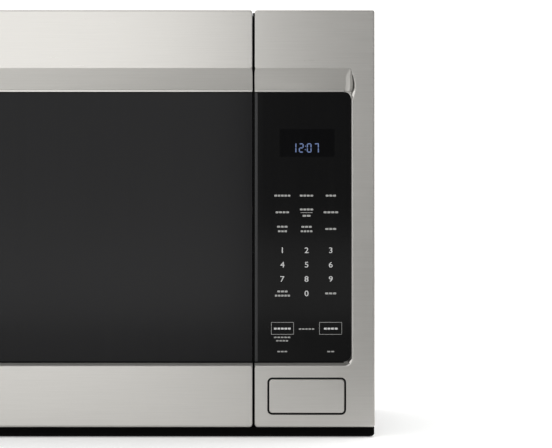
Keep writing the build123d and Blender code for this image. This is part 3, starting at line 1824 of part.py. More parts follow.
with BuildPart() as cavity_lamp:
    block(bay_x, bay_x + 1.2, lamp_y - 24, lamp_y + 24, lamp_z + 18, lamp_z + 34)
    block(bay_x, bay_x + 34, lamp_y - 12, lamp_y + 12, lamp_z + 18, lamp_z + 34)
    rod(bay_x + 18, lamp_y, lamp_z + 14, 9, 10, "z")
    with Locations((bay_x + 18, lamp_y, lamp_z)):
        Sphere(13)
write(cavity_lamp, "cavity_lamp")

with BuildPart() as thermal_cutoffs:
    for x, y in ((cavity_x1 - 60, cavity_y1 - 120), (cavity_x0 + 160, cavity_y1 - 120)):
        rod(x, y, cavity_roof + 3, 8, 6, "z")
        block(x - 14, x + 14, y - 4, y + 4, cavity_roof, cavity_roof + 0.8)
        for side in (-1, 1):
            block(x + side * 4 - 0.4, x + side * 4 + 0.4, y - 3, y + 3, cavity_roof + 5, cavity_roof + 14)
write(thermal_cutoffs, "thermal_cutoffs")

# ------------------------------------------------------------------ hood blower
# Two scrolls stand on the oven roof with the motor between them. One shaft carries both
# squirrel-cage wheels.
roof_z = cavity_roof


def scroll_face(out):
    """Volute that opens upwards at its front, drawn about the shaft, moved outwards."""
    r0 = blower_wheel_radius + scroll_gap + out
    r1 = r0 + scroll_growth * 0.5
    r2 = r0 + scroll_growth * 1.6
    r3 = r0 + scroll_growth * 2.7
    s = 0.7071
    m1 = (r0 + r1) / 2
    m2 = (r1 + r2) / 2
    m3 = (r2 + r3) / 2
    lip = -4.0 + out
    top = scroll_top - blower_z
    rim = top if out > 0 else top + 1
    with BuildSketch() as face:
        with BuildLine():
            ThreePointArc((0, r0), (m1 * s, m1 * s), (r1, 0))
            ThreePointArc((r1, 0), (m2 * s, -m2 * s), (0, -r2))
            ThreePointArc((0, -r2), (-m3 * s, -m3 * s), (-r3, 0))
            Polyline((-r3, 0), (-r3, rim), (lip, rim), (lip, r0), (0, r0))
        make_face()
    return face.sketch


scroll_outer = scroll_face(scroll_wall)
scroll_inner = scroll_face(0.0)
with BuildPart() as blower_housing:
    for side in (-1, 1):
        middle = side * scroll_x
        with BuildSketch(
            Plane(origin=(middle, blower_y, blower_z), x_dir=(0, 1, 0), z_dir=(1, 0, 0))
        ):
            add(scroll_outer)
        extrude(amount=scroll_width / 2, both=True)
        with BuildSketch(
            Plane(origin=(middle, blower_y, blower_z), x_dir=(0, 1, 0), z_dir=(1, 0, 0))
        ):
            add(scroll_inner)
        extrude(amount=scroll_width / 2 - scroll_wall, both=True, mode=Mode.SUBTRACT)
        rod(middle, blower_y, blower_z, inlet_radius, scroll_width + 4, "x", Mode.SUBTRACT)
    # deck that joins the scrolls, its feet, and the saddle of the motor
    volute_low = blower_z - (blower_wheel_radius + scroll_gap + scroll_wall + scroll_growth * 1.6)
    outer_x = scroll_x + scroll_width / 2
    block(-outer_x, outer_x, blower_y - 24, blower_y + 24, volute_low, volute_low + 1.6)
    for side in (-1, 1):
        block(
            min(side * outer_x, side * (outer_x - 14)),
            max(side * outer_x, side * (outer_x - 14)),
            blower_y - 24,
            blower_y + 24,
            roof_z,
            volute_low + 1.0,
        )
    block(-16, 16, blower_y - 18, blower_y + 18, volute_low, blower_z - blower_motor_radius + 4)
    rod(0, blower_y, blower_z, blower_motor_radius, 40, "x", Mode.SUBTRACT)
    for side in (-1, 1):
        middle = side * scroll_x
        with BuildSketch(
            Plane(origin=(middle, blower_y, blower_z), x_dir=(0, 1, 0), z_dir=(1, 0, 0))
        ):
            add(scroll_inner)
        extrude(amount=scroll_width / 2 - scroll_wall, both=True, mode=Mode.SUBTRACT)
write(blower_housing, "blower_housing")

with BuildPart() as blower_motor:
    rod(0, blower_y, blower_z, blower_motor_radius, blower_motor_length, "x")
    fillet(blower_motor.edges().filter_by(GeomType.CIRCLE), 3)
    rod(0, blower_y, blower_z, 10, blower_motor_length + 8, "x")
    rod(0, blower_y, blower_z, blower_shaft_radius + shaft_gap, 90, "x", Mode.SUBTRACT)
write(blower_motor, "blower_motor")

shaft_half = scroll_x + 8
with BuildPart() as blower_wheels:
    rod(0, blower_y, blower_z, blower_shaft_radius, 2 * shaft_half, "x")
    for side in (-1, 1):
        middle = side * scroll_x
        rod(middle, blower_y, blower_z, blower_wheel_radius - blade_depth + 1, 1.2, "x")
        rod(middle, blower_y, blower_z, 8, 18, "x")
        for end in (-1, 0, 1):
            x = middle + end * (blower_wheel_width / 2 - 1)
            with BuildSketch(side_plane(x - 1)):
                with Locations((blower_y, blower_z)):
                    Circle(blower_wheel_radius)
                    Circle(blower_wheel_radius - blade_depth + (1.5 if end else 0), mode=Mode.SUBTRACT)
            extrude(amount=2)
        with BuildSketch(side_plane(middle)):
            for n in range(blower_blades):
                turn = 360 / blower_blades * n
                inner = blower_wheel_radius - blade_depth
                outer = blower_wheel_radius - 0.4
                lean = 360 / blower_blades * 0.55
                a = (
                    blower_y + inner * cos(radians(turn)),
                    blower_z + inner * sin(radians(turn)),
                )
                b = (
                    blower_y + outer * cos(radians(turn + lean)),
                    blower_z + outer * sin(radians(turn + lean)),
                )
                step = 2.0
                c = (
                    blower_y + outer * cos(radians(turn + lean + step)),
                    blower_z + outer * sin(radians(turn + lean + step)),
                )
                d = (
                    blower_y + inner * cos(radians(turn + step)),
                    blower_z + inner * sin(radians(turn + step)),
                )
                mid = (
                    blower_y + (inner + outer) / 2 * cos(radians(turn + lean * 0.28)),
                    blower_z + (inner + outer) / 2 * sin(radians(turn + lean * 0.28)),
                )
                far = (
                    blower_y + (inner + outer) / 2 * cos(radians(turn + lean * 0.28 + step)),
                    blower_z + (inner + outer) / 2 * sin(radians(turn + lean * 0.28 + step)),
                )
                with BuildLine():
                    ThreePointArc(a, mid, b)
                    Line(b, c)
                    ThreePointArc(c, far, d)
                    Line(d, a)
                make_face()
        extrude(amount=blower_wheel_width / 2, both=True)
write(blower_wheels, "blower_wheels")

# ------------------------------------------------------------------ damper
frame_out_x = duct_width / 2 + duct_wall
duct_back = duct_front + duct_depth
flap_z = case_under - duct_height * 0.55
flap_pivot_y = duct_back - 3.2
with BuildPart() as damper_frame:
    block(
        -frame_out_x,
        frame_out_x,
        duct_front - duct_wall,
        duct_back + duct_wall,
        scroll_top,
        case_under,
    )
    block(
        -duct_width / 2,
        duct_width / 2,
        duct_front,
        duct_back,
        scroll_top + 1.2,
        case_under + 1,
        Mode.SUBTRACT,
    )
    for side in (-1, 1):
        middle = side * scroll_x
        r3 = blower_wheel_radius + scroll_gap + scroll_growth * 2.7
        block(
            middle - scroll_width / 2 + scroll_wall,
            middle + scroll_width / 2 - scroll_wall,
            blower_y - r3,
            blower_y - 4.0,
            scroll_top - 1,
            scroll_top + 2,
            Mode.SUBTRACT,
        )
        rod(
            side * frame_out_x, flap_pivot_y, flap_z, flap_rod_radius + shaft_gap, 8, "x", Mode.SUBTRACT
        )
write(damper_frame, "damper_frame")

with BuildPart() as damper_flap:
    block(
        -duct_width / 2 + 1.5,
        duct_width / 2 - 1.5,
        duct_front + 1.5,
        flap_pivot_y,
        flap_z - flap_thickness / 2,
        flap_z + flap_thickness / 2,
    )
    rod(0, flap_pivot_y, flap_z, flap_rod_radius, 2 * frame_out_x, "x")
write(damper_flap, "damper_flap")

# ------------------------------------------------------------------ screws
screw_head_radius = 3.6
with BuildPart() as case_screws:
    screw_low = base_height + 18
    screw_step_z = (case_top - 20 - screw_low) / 3
    screw_step_x = (overall_width - 220) / 3
    for n in range(4):
        for side in (-1, 1):
            rod(
                side * (case_x - 8),
                plate_rear_y + 0.9,
                screw_low + n * screw_step_z,
                screw_head_radius,
                1.8,
                "y",
            )
        rod((n - 1.5) * screw_step_x, plate_rear_y + 0.9, case_top - 8, screw_head_radius, 1.8, "y")
write(case_screws, "case_screws")
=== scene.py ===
"""Over-the-range microwave oven, seen straight on from the front.

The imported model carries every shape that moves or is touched. This script gives each of
its pieces the finish of the real one, and adds what is too fine for it: the rolled edges
of the recess, the printed keys, the clock, the mesh of the grease filters and other trim.
Lengths are in millimetres until a mesh is written, and those of the studio in metres.
The front faces -Y.
"""

from __future__ import annotations

import logging
import math
from collections.abc import Sequence
from dataclasses import dataclass, field, replace
from enum import Enum

import bmesh
import bpy
from mathutils import Matrix, Vector

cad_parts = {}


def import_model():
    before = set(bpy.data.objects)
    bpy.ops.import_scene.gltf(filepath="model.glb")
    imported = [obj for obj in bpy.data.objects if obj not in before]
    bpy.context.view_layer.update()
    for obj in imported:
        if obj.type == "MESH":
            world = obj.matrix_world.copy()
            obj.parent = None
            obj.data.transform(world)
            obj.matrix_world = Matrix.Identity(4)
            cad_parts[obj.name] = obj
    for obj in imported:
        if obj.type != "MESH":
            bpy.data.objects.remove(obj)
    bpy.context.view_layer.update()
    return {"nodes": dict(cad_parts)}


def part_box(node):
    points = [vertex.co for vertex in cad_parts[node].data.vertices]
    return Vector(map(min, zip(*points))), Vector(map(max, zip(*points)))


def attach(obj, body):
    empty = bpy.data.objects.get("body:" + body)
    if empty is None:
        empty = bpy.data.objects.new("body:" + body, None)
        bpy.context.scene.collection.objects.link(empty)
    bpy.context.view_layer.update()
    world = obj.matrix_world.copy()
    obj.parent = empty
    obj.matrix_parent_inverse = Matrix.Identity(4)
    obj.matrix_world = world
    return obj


LOG = logging.getLogger("microwave")
MM = 0.001
MERGE = 0.001 * MM  # vertices nearer to each other than this become one
Flat = tuple[float, float]
Point = tuple[float, float, float]
Bar = tuple[float, float, float]  # middle x, middle z and width
Station = tuple[Point, Point, float, float, float]  # back and front, then roll, tilt and lean
Tree = bpy.types.NodeTree
Socket = bpy.types.NodeSocket
Inputs = dict[str | int, object]


# ---- colours and nodes
def linear(shade: str) -> tuple[float, float, float, float]:
    """Turn an sRGB hex colour into the linear one that the shaders take, with an alpha of one."""
    parts = [int(shade[i : i + 2], 16) / 255 for i in (1, 3, 5)]
    return *(c / 12.92 if c <= 0.04045 else ((c + 0.055) / 1.055) ** 2.4 for c in parts), 1.0


def add_node(
    tree: Tree, kind: str, inputs: Inputs | None = None, out: str | int = 0, **settings: object
) -> Socket | None:
    """Add a node with its settings, and fill or link its inputs.

    Args:
        tree: Node tree that gets the node.
        kind: Blender's name of the node type, without ShaderNode in front.
        inputs: For each input, by name or number, a socket to link or a value to set.
        out: Name or number of the output that is wanted.
        **settings: Properties of the node itself.

    Returns:
        That output of the new node, or nothing where it has none.
    """
    node = tree.nodes.new("ShaderNode" + kind)
    for name, value in settings.items():
        setattr(node, name, value)
    for key, value in (inputs or {}).items():
        if isinstance(value, Socket):
            tree.links.new(value, node.inputs[key])
        else:
            node.inputs[key].default_value = value
    return node.outputs[out] if node.outputs else None


# ---- finishes
class Grain(Enum):
    """How a surface was made, which sets the pattern that it shows."""

    BRUSHED = "lines of an abrasive belt, along X"
    DRAWN = "soft lines of a glass furnace, along Z"
    SPRAYED = "orange peel of paint"
    SPANGLED = "crystals of hot-dip zinc"
    MOULDED = "spark-eroded mould grain"
    ROLLED = "mill-rolled sheet"
    SPECKLED = "enamel with fine specks"
    LAMINATED = "woven glass under resin"
    PUNCHED = "round holes in rows"
    FIBROUS = "felt of loose granules"


@dataclass(frozen=True)
class Finish:
    """One material and the way its surface was made."""

    name: str
    slot: str
    colour: str
    shade: str
    grain: Grain
    pitch: float = 1.0  # mm from one line, cell or speck to the next
    stretch: float = 1.0  # how much longer than wide each mark is
    relief: float = 0.0  # mm from valley to ridge
    roughness: float = 0.5
    spread: float = 0.08  # how far the pattern moves the roughness
    metallic: float = 0.0
    ior: float = 1.5
    specular: float = 0.5
    anisotropic: float = 0.0
    turn: float = 0.25  # quarter turn, so that the glare runs across the brushed lines
    coat: float = 0.0
    coat_roughness: float = 0.1
    transmission: float = 0.0
    cloud: float = 0.25  # share of the slow change from hand to hand or sheet to sheet
    clouds: float = 9.0  # slow changes in a metre, each some 110 mm wide
    edge_wear: float = 0.0  # how much lighter the rubbed edges are
    worn: str = "#b8b8b6"  # what a rubbed edge tends to
    rub: float = 0.9  # mm that the wear reaches in from an edge
    glow: float = 0.0
    soft_edge: float = 0.0  # mm that the shading rounds each edge of the piece
    hole: Flat = (0.30, 0.36)  # radius inside and outside the rim, as shares of the pitch

    def pattern(self, tree: Tree, place: Socket) -> Socket:
        """Draw the marks of the grain.

        Args:
            tree: Node tree of the material.
            place: Socket with the place on the object, in metres.

        Returns:
            Socket that runs from 0 to 1 over the marks.
        """
        fine = 1000.0 / self.pitch
        if self.grain is Grain.PUNCHED:
            return self.holes(tree, place)
        if self.grain is Grain.LAMINATED:
            # bands of this scale lie two pi pitches apart, so the weave shows
            band = {"Vector": place, "Scale": fine / 20, "Distortion": 0.4}
            weave = [add_node(tree, "TexWave", band, "Fac", bands_direction=way) for way in "XZ"]
            return add_node(tree, "Math", dict(enumerate(weave)), operation="MULTIPLY")
        if self.grain in (Grain.FIBROUS, Grain.SPANGLED, Grain.SPECKLED):
            cells = add_node(tree, "TexVoronoi", {"Vector": place, "Scale": fine}, "Distance")
            if self.grain is Grain.FIBROUS:
                return cells
            tone = add_node(tree, "SeparateColor", {"Color": cells.node.outputs["Color"]})
            if self.grain is Grain.SPANGLED:
                return tone
            rim = {"Value": cells, "From Min": 0.12, "From Max": 0.3}
            speck = add_node(tree, "MapRange", rim)
            rare = add_node(tree, "Math", {0: tone, 1: 0.7}, operation="LESS_THAN")
            return add_node(tree, "Math", {0: speck, 1: rare}, operation="MAXIMUM")
        detail = 1.0 if self.grain is Grain.SPRAYED else 4.0
        noise = {"Vector": place, "Scale": fine, "Detail": detail, "Roughness": 0.55}
        if self.grain in (Grain.BRUSHED, Grain.DRAWN):
            along = fine / self.stretch
            scale = (along, fine, fine) if self.grain is Grain.BRUSHED else (fine, fine, along)
            turned = add_node(tree, "Mapping", {"Vector": place, "Scale": scale})
            noise = {"Vector": turned, "Scale": 1.0, "Detail": 3.0, "Roughness": 0.7}
        return add_node(tree, "TexNoise", noise, "Fac")

    def holes(self, tree: Tree, place: Socket) -> Socket:
        """Draw rows of round holes on a sheet that faces the front.

        Args:
            tree: Node tree of the material.
            place: Socket with the place on the object, in metres.

        Returns:
            Socket that is 0 in a hole and 1 on the metal between.
        """
        cell = self.pitch * MM
        wrap, middle, front = (cell, 1.0, cell), (cell / 2, 0.0, cell / 2), (1.0, 0.0, 1.0)
        # wrapped twice, so that places below zero fall into a cell as well
        steps = [("MODULO", wrap), ("ADD", wrap), ("MODULO", wrap)]
        for step, value in (*steps, ("SUBTRACT", middle), ("MULTIPLY", front)):
            place = add_node(tree, "VectorMath", {0: place, 1: value}, operation=step)
        reach = add_node(tree, "VectorMath", {0: place}, "Value", operation="LENGTH")
        inside, outside = (cell * share for share in self.hole)
        return add_node(
            tree, "MapRange", {"Value": reach, "From Min": inside, "From Max": outside}
        )

    def edges(self, tree: Tree, colour: Socket) -> Socket:
        """Lighten the rubbed edges of a painted or moulded piece.

        Args:
            tree: Node tree of the material.
            colour: Socket with the colour away from the edges.

        Returns:
            Socket with the colour, its edges lighter.
        """
        bevel = add_node(tree, "Bevel", {"Radius": self.rub * MM}, samples=4)
        true = add_node(tree, "NewGeometry", out="Normal")
        match = add_node(tree, "VectorMath", {0: bevel, 1: true}, "Value", operation="DOT_PRODUCT")
        ramp = {"Value": match, "From Min": 0.995, "From Max": 0.86, "To Max": self.edge_wear}
        mask = add_node(tree, "MapRange", ramp)
        return add_node(
            tree, "Mix", {0: mask, 6: colour, 7: linear(self.worn)}, 2, data_type="RGBA"
        )

    def build(self) -> bpy.types.Material:
        """Build the material once, and hand out the same one after that.

        Returns:
            The material.
        """
        known = bpy.data.materials.get(self.name)
        if known:
            return known
        material = bpy.data.materials.new(self.name)
        material.use_nodes = True
        tree = material.node_tree
        tree.nodes.clear()
        place = add_node(tree, "TexCoord", out="Object")
        marks = self.pattern(tree, place)
        slow = {"Vector": place, "Scale": self.clouds, "Detail": 3.0, "Roughness": 0.5}
        cloud = add_node(tree, "TexNoise", slow, "Fac")
        blend = add_node(tree, "Mix", {0: self.cloud, 2: marks, 3: cloud}, data_type="FLOAT")
        tones = {0: blend, 6: linear(self.shade), 7: linear(self.colour)}
        colour = add_node(tree, "Mix", tones, 2, data_type="RGBA")
        if self.edge_wear:
            colour = self.edges(tree, colour)
        polish = {"Value": blend, "From Min": 0.25, "From Max": 0.75}
        polish["To Min"] = max(self.roughness - self.spread, 0.0)
        polish["To Max"] = min(self.roughness + self.spread, 1.0)
        values: Inputs = {
            "Base Color": colour,
            "Roughness": add_node(tree, "MapRange", polish),
            "Metallic": self.metallic,
            "Specular IOR Level": self.specular,
            "Coat Weight": self.coat,
            "Coat Roughness": self.coat_roughness,
            "Transmission Weight": self.transmission,
            "Anisotropic": self.anisotropic,
            "Anisotropic Rotation": self.turn if self.anisotropic else 0.0,
        }
        if not self.metallic:
            values["IOR"] = self.ior
        if self.anisotropic:
            values["Tangent"] = add_node(tree, "Tangent", direction_type="RADIAL", axis="Z")
        if self.glow:
            values["Emission Color"] = linear(self.colour)
            values["Emission Strength"] = self.glow
        if self.soft_edge:
            values["Normal"] = add_node(tree, "Bevel", {"Radius": self.soft_edge * MM}, samples=6)
        if self.relief:
            bump = {"Height": marks, "Distance": self.relief * MM, "Strength": 1.0}
            if self.soft_edge:
                bump["Normal"] = values["Normal"]
            values["Normal"] = add_node(tree, "Bump", bump)
        shader = add_node(tree, "BsdfPrincipled", values)
        add_node(tree, "OutputMaterial", {"Surface": shader})
        return material


# Ferritic stainless sheet, belt-brushed along its width: soft grey with a silky streak.
# The real lines are 0.1 mm apart, and are drawn at 1.1 mm so that they show.
BRUSHED_STAINLESS = Finish(
    "brushed_stainless", "steel", "#c4c2be", "#b2b0ac", Grain.BRUSHED,
    pitch=1.1, stretch=60, relief=0.004, roughness=0.32, spread=0.06, metallic=1.0,
    anisotropic=0.6, cloud=0.2, soft_edge=0.45,
)
# The same sheet folded tightly beside the shut line: a crisp edge that takes a hard light.
FOLDED_STAINLESS = replace(BRUSHED_STAINLESS, name="folded_stainless", soft_edge=0.0)
# The button, pressed from the same sheet: the same streak, its lines a little shorter.
BUTTON_STAINLESS = replace(
    BRUSHED_STAINLESS, name="button_stainless", slot="button_silver", shade="#b4b2ae", stretch=50
)
# The rolled sill of the recess, rubbed along its length by the forming tool: softer and duller, and a
# dimmer copy of the brushed sheet, painted shade on the sill and on the scoop's end.
SILL_STAINLESS = Finish(
    "sill_stainless", "steel", "#c3c1bd", "#b6b4b0", Grain.BRUSHED,
    pitch=1.1, stretch=60, relief=0.003, roughness=0.4, spread=0.05, metallic=0.72, cloud=0.2,
)
# Where the belt can't reach, the sheet keeps its drawn surface: a dull, even grey, made darker still
# as painted shade on the end wall of the scoop.
DRAWN_AND_SHADED_STAINLESS = Finish(
    "drawn_and_shaded_stainless", "steel", "#9a9894", "#8c8a86", Grain.ROLLED,
    pitch=1.5, roughness=0.45, spread=0.05, metallic=0.8, cloud=0.2,
)
# Painted shade for the crease of the scoop, which sees little but itself: a dark grey.
CREASE_SHADE_STAINLESS = replace(
    DRAWN_AND_SHADED_STAINLESS, name="crease_shade_stainless", colour="#4d4c4a", shade="#434240", roughness=0.5
)
# Tempered soda-lime glass, printed black on its back: deep, with a faint grey veil.
DOOR_GLASS = Finish(
    "door_black_glass", "black_glass", "#1a1a1b", "#161617", Grain.DRAWN,
    pitch=9.0, stretch=40, roughness=0.12, spread=0.02, ior=1.52, specular=0.11,
)
# The same glass over the controls, without the veil of a screen behind it: blacker.
PANEL_GLASS = replace(
    DOOR_GLASS, name="panel_black_glass", colour="#090909", shade="#070708", roughness=0.08,
    specular=0.14,
)
# Ground and polished glass edge, lighter than the face: its own ground surface and a painted highlight
# where it catches light.
GLASS_EDGE = Finish(
    "ground_glass_edge_and_highlight", "black_glass", "#343435", "#2d2d2e", Grain.DRAWN,
    pitch=4.0, stretch=20, roughness=0.35, spread=0.05, ior=1.52, specular=0.2,
)
# Polyester powder coat on steel sheet: dark, satin, with the peel of sprayed powder.
POWDER_COAT = Finish(
    "dark_powder_coat", "case_paint", "#2d2e30", "#27282a", Grain.SPRAYED,
    pitch=1.8, relief=0.03, roughness=0.48, edge_wear=0.10,
)
# The black coat of the base, darkened further as painted shade, since the base lies nearly out of the
# light: a flat black.
BASE_COAT_AND_SHADE = Finish(
    "black_base_coat_and_shade", "base_black", "#050404", "#030303", Grain.SPRAYED,
    pitch=1.8, relief=0.02, specular=0.03, edge_wear=0.02,
)
# Hot-dip galvanised sheet: cool grey with crystals some 8 mm across.
GALVANISED = Finish(
    "galvanised_sheet", "zinc", "#b3b7ba", "#8f9497", Grain.SPANGLED,
    pitch=8.0, roughness=0.42, spread=0.12, metallic=1.0,
)
# Acrylic enamel of the oven: mid grey with fine darker specks, easy to wipe.
OVEN_ENAMEL = Finish(
    "oven_enamel", "cavity_enamel", "#a3a5a4", "#6f7273", Grain.SPECKLED,
    pitch=3.0, relief=0.004, roughness=0.36, coat=0.3, cloud=0.08,
)
# ABS from a spark-eroded mould: black, with a fine dull grain.
BLACK_ABS = Finish(
    "black_abs", "black_plastic", "#161718", "#111213", Grain.MOULDED,
    pitch=0.8, relief=0.03, roughness=0.55, edge_wear=0.08,
)
# Unpigmented acetal: milky pale grey, smooth and slightly waxy.
GREY_ACETAL = Finish(
    "natural_acetal", "grey_plastic", "#cfcfca", "#bdbdb7", Grain.MOULDED,
    pitch=1.2, relief=0.01, roughness=0.4, edge_wear=0.05,
)
# Pigmented nylon of the switch buttons: a plain red with a soft shine.
RED_NYLON = Finish(
    "red_nylon", "red_plastic", "#ab2a20", "#8f2019", Grain.MOULDED,
    pitch=0.8, relief=0.01, roughness=0.38,
)
# Painted shade: a black, dull sheet laid where the shut line and the edges of the glass fall into
# shade.
PAINTED_SHADE_BLACK = Finish(
    "painted_shade_black", "black_plastic", "#0a0a0a", "#060606", Grain.MOULDED,
    pitch=0.8, roughness=0.85, specular=0.08,
)
# Glass-cloth laminate under solder resist: green, its faint weave drawn coarser than it is.
CIRCUIT_BOARD = Finish(
    "circuit_board", "board", "#23663b", "#174a2a", Grain.LAMINATED,
    pitch=2.5, relief=0.01, roughness=0.35, coat=0.3,
)
# Pressed mica sheet: buff, with soft overlapping flakes.
MICA_SHEET = Finish(
    "pressed_mica", "mica", "#c4bba4", "#a79d85", Grain.SPANGLED,
    pitch=6.0, roughness=0.42, coat=0.2,
)
# Aluminium as it leaves the rolling mill: bright, with a faint cloud.
ALUMINIUM_SHEET = Finish(
    "mill_aluminium", "aluminium", "#ced0d2", "#b8babd", Grain.ROLLED,
    pitch=3.0, relief=0.005, roughness=0.36, metallic=1.0,
)
# Stacked core plates under varnish: dark grey, with the lines of the plates.
CORE_STEEL = Finish(
    "varnished_core_steel", "core_steel", "#55565a", "#3d3e41", Grain.BRUSHED,
    pitch=0.8, stretch=30, relief=0.03, metallic=0.8,
)
# Drawn and plated wire: smooth and the brightest of the metals.
SPRING_WIRE = Finish(
    "spring_wire", "spring_steel", "#c3c5c7", "#a5a8ab", Grain.ROLLED,
    pitch=1.5, relief=0.003, roughness=0.24, metallic=1.0,
)
# Pressed soda-lime glass with a frosted back: milky, so that the lamp behind it spreads.
FROSTED_GLASS = Finish(
    "frosted_lamp_glass", "lamp_glass", "#f0eee6", "#e2dfd4", Grain.ROLLED,
    pitch=2.5, relief=0.05, roughness=0.42, transmission=0.55,
)
# Annealed glass of the tray and the inner window: clear, with a trace of green.
CLEAR_GLASS = Finish(
    "annealed_clear_glass", "clear_glass", "#e6efec", "#dde8e5", Grain.DRAWN,
    pitch=12.0, stretch=10, roughness=0.04, spread=0.01, transmission=1.0,
)
# Loose charcoal granules: black, rough and without any shine.
CHARCOAL_BED = Finish(
    "charcoal_bed", "charcoal", "#2c2c2d", "#0c0c0c", Grain.FIBROUS,
    pitch=3.0, relief=0.6, roughness=0.85,
)
# Stainless screen: rows of dark holes, 1.5 mm wide on the real one and drawn at twice the pitch.
PUNCHED_SCREEN = Finish(
    "punched_screen", "steel", "#2c2d2e", "#050505", Grain.PUNCHED,
    pitch=4.0, roughness=0.45, cloud=0.0,
)
# Expanded aluminium of the grease filters: bright strands that stand out from the pad.
FILTER_ALUMINIUM = Finish(
    "filter_aluminium", "filter_mesh", "#c2c5c7", "#8e9194", Grain.ROLLED,
    pitch=2.0, relief=0.05, roughness=0.4, metallic=1.0,
)
# Matted aluminium of the pad under them: darker, a tangle without direction.
FILTER_PAD = Finish(
    "filter_pad", "filter_mesh", "#84878a", "#3b3d3f", Grain.FIBROUS,
    pitch=4.0, relief=0.5, metallic=0.9,
)
# Screen-printed epoxy ink of the digits: a flat, slightly greyed white, given a painted glow, as print
# sheds no light of its own.
KEY_INK = Finish(
    "white_key_ink", "grey_plastic", "#bababa", "#b1b1b0", Grain.MOULDED, pitch=0.6, glow=0.12
)
# The same ink in the thin lines of the words, with the same painted glow: greyer, since the black
# shows between them.
WORD_INK = replace(KEY_INK, name="soft_white_key_ink", colour="#959593", shade="#8d8d8b")
# The grey ink of the boxes and of the lesser words, with a weaker painted glow: fainter still.
KEY_INK_FAINT = replace(
    KEY_INK, name="grey_key_ink", colour="#949492", shade="#8a8a88", glow=0.05
)
# Segments of the clock, lit behind smoked glass: a muted blue.
LIT_SEGMENT = Finish(
    "lit_segment", "display", "#53658c", "#4c5c82", Grain.MOULDED, roughness=0.4, glow=0.45
)
# The smoked window before them: blacker than the glass round it, with a soft gleam.
SMOKED_WINDOW = Finish(
    "smoked_window", "display", "#020203", "#010102", Grain.DRAWN,
    pitch=9.0, stretch=10, roughness=0.1, spread=0.02, specular=0.12,
)
# Moulded case of the clock: black and plain, as it hardly shows.
DISPLAY_CASE = Finish(
    "display_case", "display", "#0d0e10", "#08090a", Grain.MOULDED,
    pitch=0.8, relief=0.01, roughness=0.4,
)


def paint(finish: Finish, *nodes: str) -> None:
    """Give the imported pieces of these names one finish.

    Args:
        finish: Finish that they get.
        *nodes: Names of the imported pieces.
    """
    material = finish.build()
    for name in nodes:
        mesh = bpy.data.objects[name].data
        mesh.materials.clear()
        mesh.materials.append(material)
    LOG.info("%s: %s", finish.name, ", ".join(nodes))


# ---- mesh drafting
def arc(middle: Flat, radius: float, start: float, end: float, steps: int) -> list[Flat]:
    """Walk along an arc from the start angle to the end angle, both in degrees."""
    turns = [math.radians(start + (end - start) * n / steps) for n in range(steps + 1)]
    return [(middle[0] + radius * math.cos(t), middle[1] + radius * math.sin(t)) for t in turns]


def rounded(x0: float, x1: float, z0: float, z1: float, radius: float) -> list[Flat]:
    """Walk round a rectangle with rounded corners.

    Args:
        x0: Lowest x.
        x1: Highest x.
        z0: Lowest z.
        z1: Highest z.
        radius: Corner radius.

    Returns:
        Points of the outline, in order.
    """
    left, right, low, high = x0 + radius, x1 - radius, z0 + radius, z1 - radius
    middles = {0: (right, high), 90: (left, high), 180: (left, low), 270: (right, low)}
    return [p for turn, at in middles.items() for p in arc(at, radius, turn, turn + 90, 5)]


@dataclass
class MeshDraft:
    """Corner points and faces of one piece, in millimetres."""

    points: list[Point] = field(default_factory=list)
    faces: list[tuple[int, ...]] = field(default_factory=list)

    def loft(self, rings: Sequence[Sequence[Point]], endless: bool = False) -> MeshDraft:
        """Add a closed solid through rings with equal counts of points.

        Args:
            rings: Points round each section, in the same order.
            endless: Whether the last ring joins the first, in place of a face at each end.

        Returns:
            The draft itself.
        """
        start, count, total = len(self.points), len(rings[0]), sum(len(ring) for ring in rings)
        for ring in rings:
            self.points += ring
        if not endless:
            self.faces.append(tuple(range(start, start + count)))
            self.faces.append(tuple(range(start + total - 1, start + total - count - 1, -1)))
        for row in range(0, total if endless else total - count, count):
            here, over = start + row, start + (row + count) % total
            for n in range(count):
                m = (n + 1) % count
                self.faces.append((here + n, here + m, over + m, over + n))
        return self

    def prism(self, outline: Sequence[Point], lift: Point) -> None:
        """Add a solid between an outline and its copy, which stands off by the lift."""
        self.loft([outline, [tuple(a + b for a, b in zip(p, lift)) for p in outline]])

    def tile(self, outline: Sequence[Flat], face_y: float, height: float) -> MeshDraft:
        """Add a tile of this height that lies on a plane which faces the front."""
        self.prism([(x, face_y, z) for x, z in outline], (0.0, -height, 0.0))
        return self

    def piece(self, name: str, finish: Finish, body: str, smooth: bool = False) -> None:
        """Write the draft as an object that rides on a body.

        Args:
            name: Name of the piece.
            finish: Finish of the piece.
            body: Body that it moves with.
            smooth: Whether its faces are shaded smooth.
        """
        mesh = bpy.data.meshes.new(name)
        mesh.from_pydata([(x * MM, y * MM, z * MM) for x, y, z in self.points], [], self.faces)
        place_mesh(mesh, finish, body, smooth)


def place_mesh(mesh: bpy.types.Mesh, finish: Finish, body: str, smooth: bool = False) -> None:
    """Put a mesh in the scene with its faces turned outwards, and let it ride on a body.

    Args:
        mesh: Mesh in metres, with the name of the piece.
        finish: Finish of the piece.
        body: Body that it moves with.
        smooth: Whether its faces are shaded smooth, up to a sharp angle.
    """
    sharp = math.radians(40)
    work = bmesh.new()
    work.from_mesh(mesh)
    bmesh.ops.recalc_face_normals(work, faces=work.faces)
    for one in work.faces:
        one.smooth = smooth
    work.to_mesh(mesh)
    work.free()
    if smooth:
        mesh.set_sharp_from_angle(angle=sharp)
    mesh.materials.append(finish.build())
    piece = bpy.data.objects.new(mesh.name, mesh)
    bpy.context.scene.collection.objects.link(piece)
    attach(piece, body)
    LOG.info("%s rides on %s", piece.name, body)


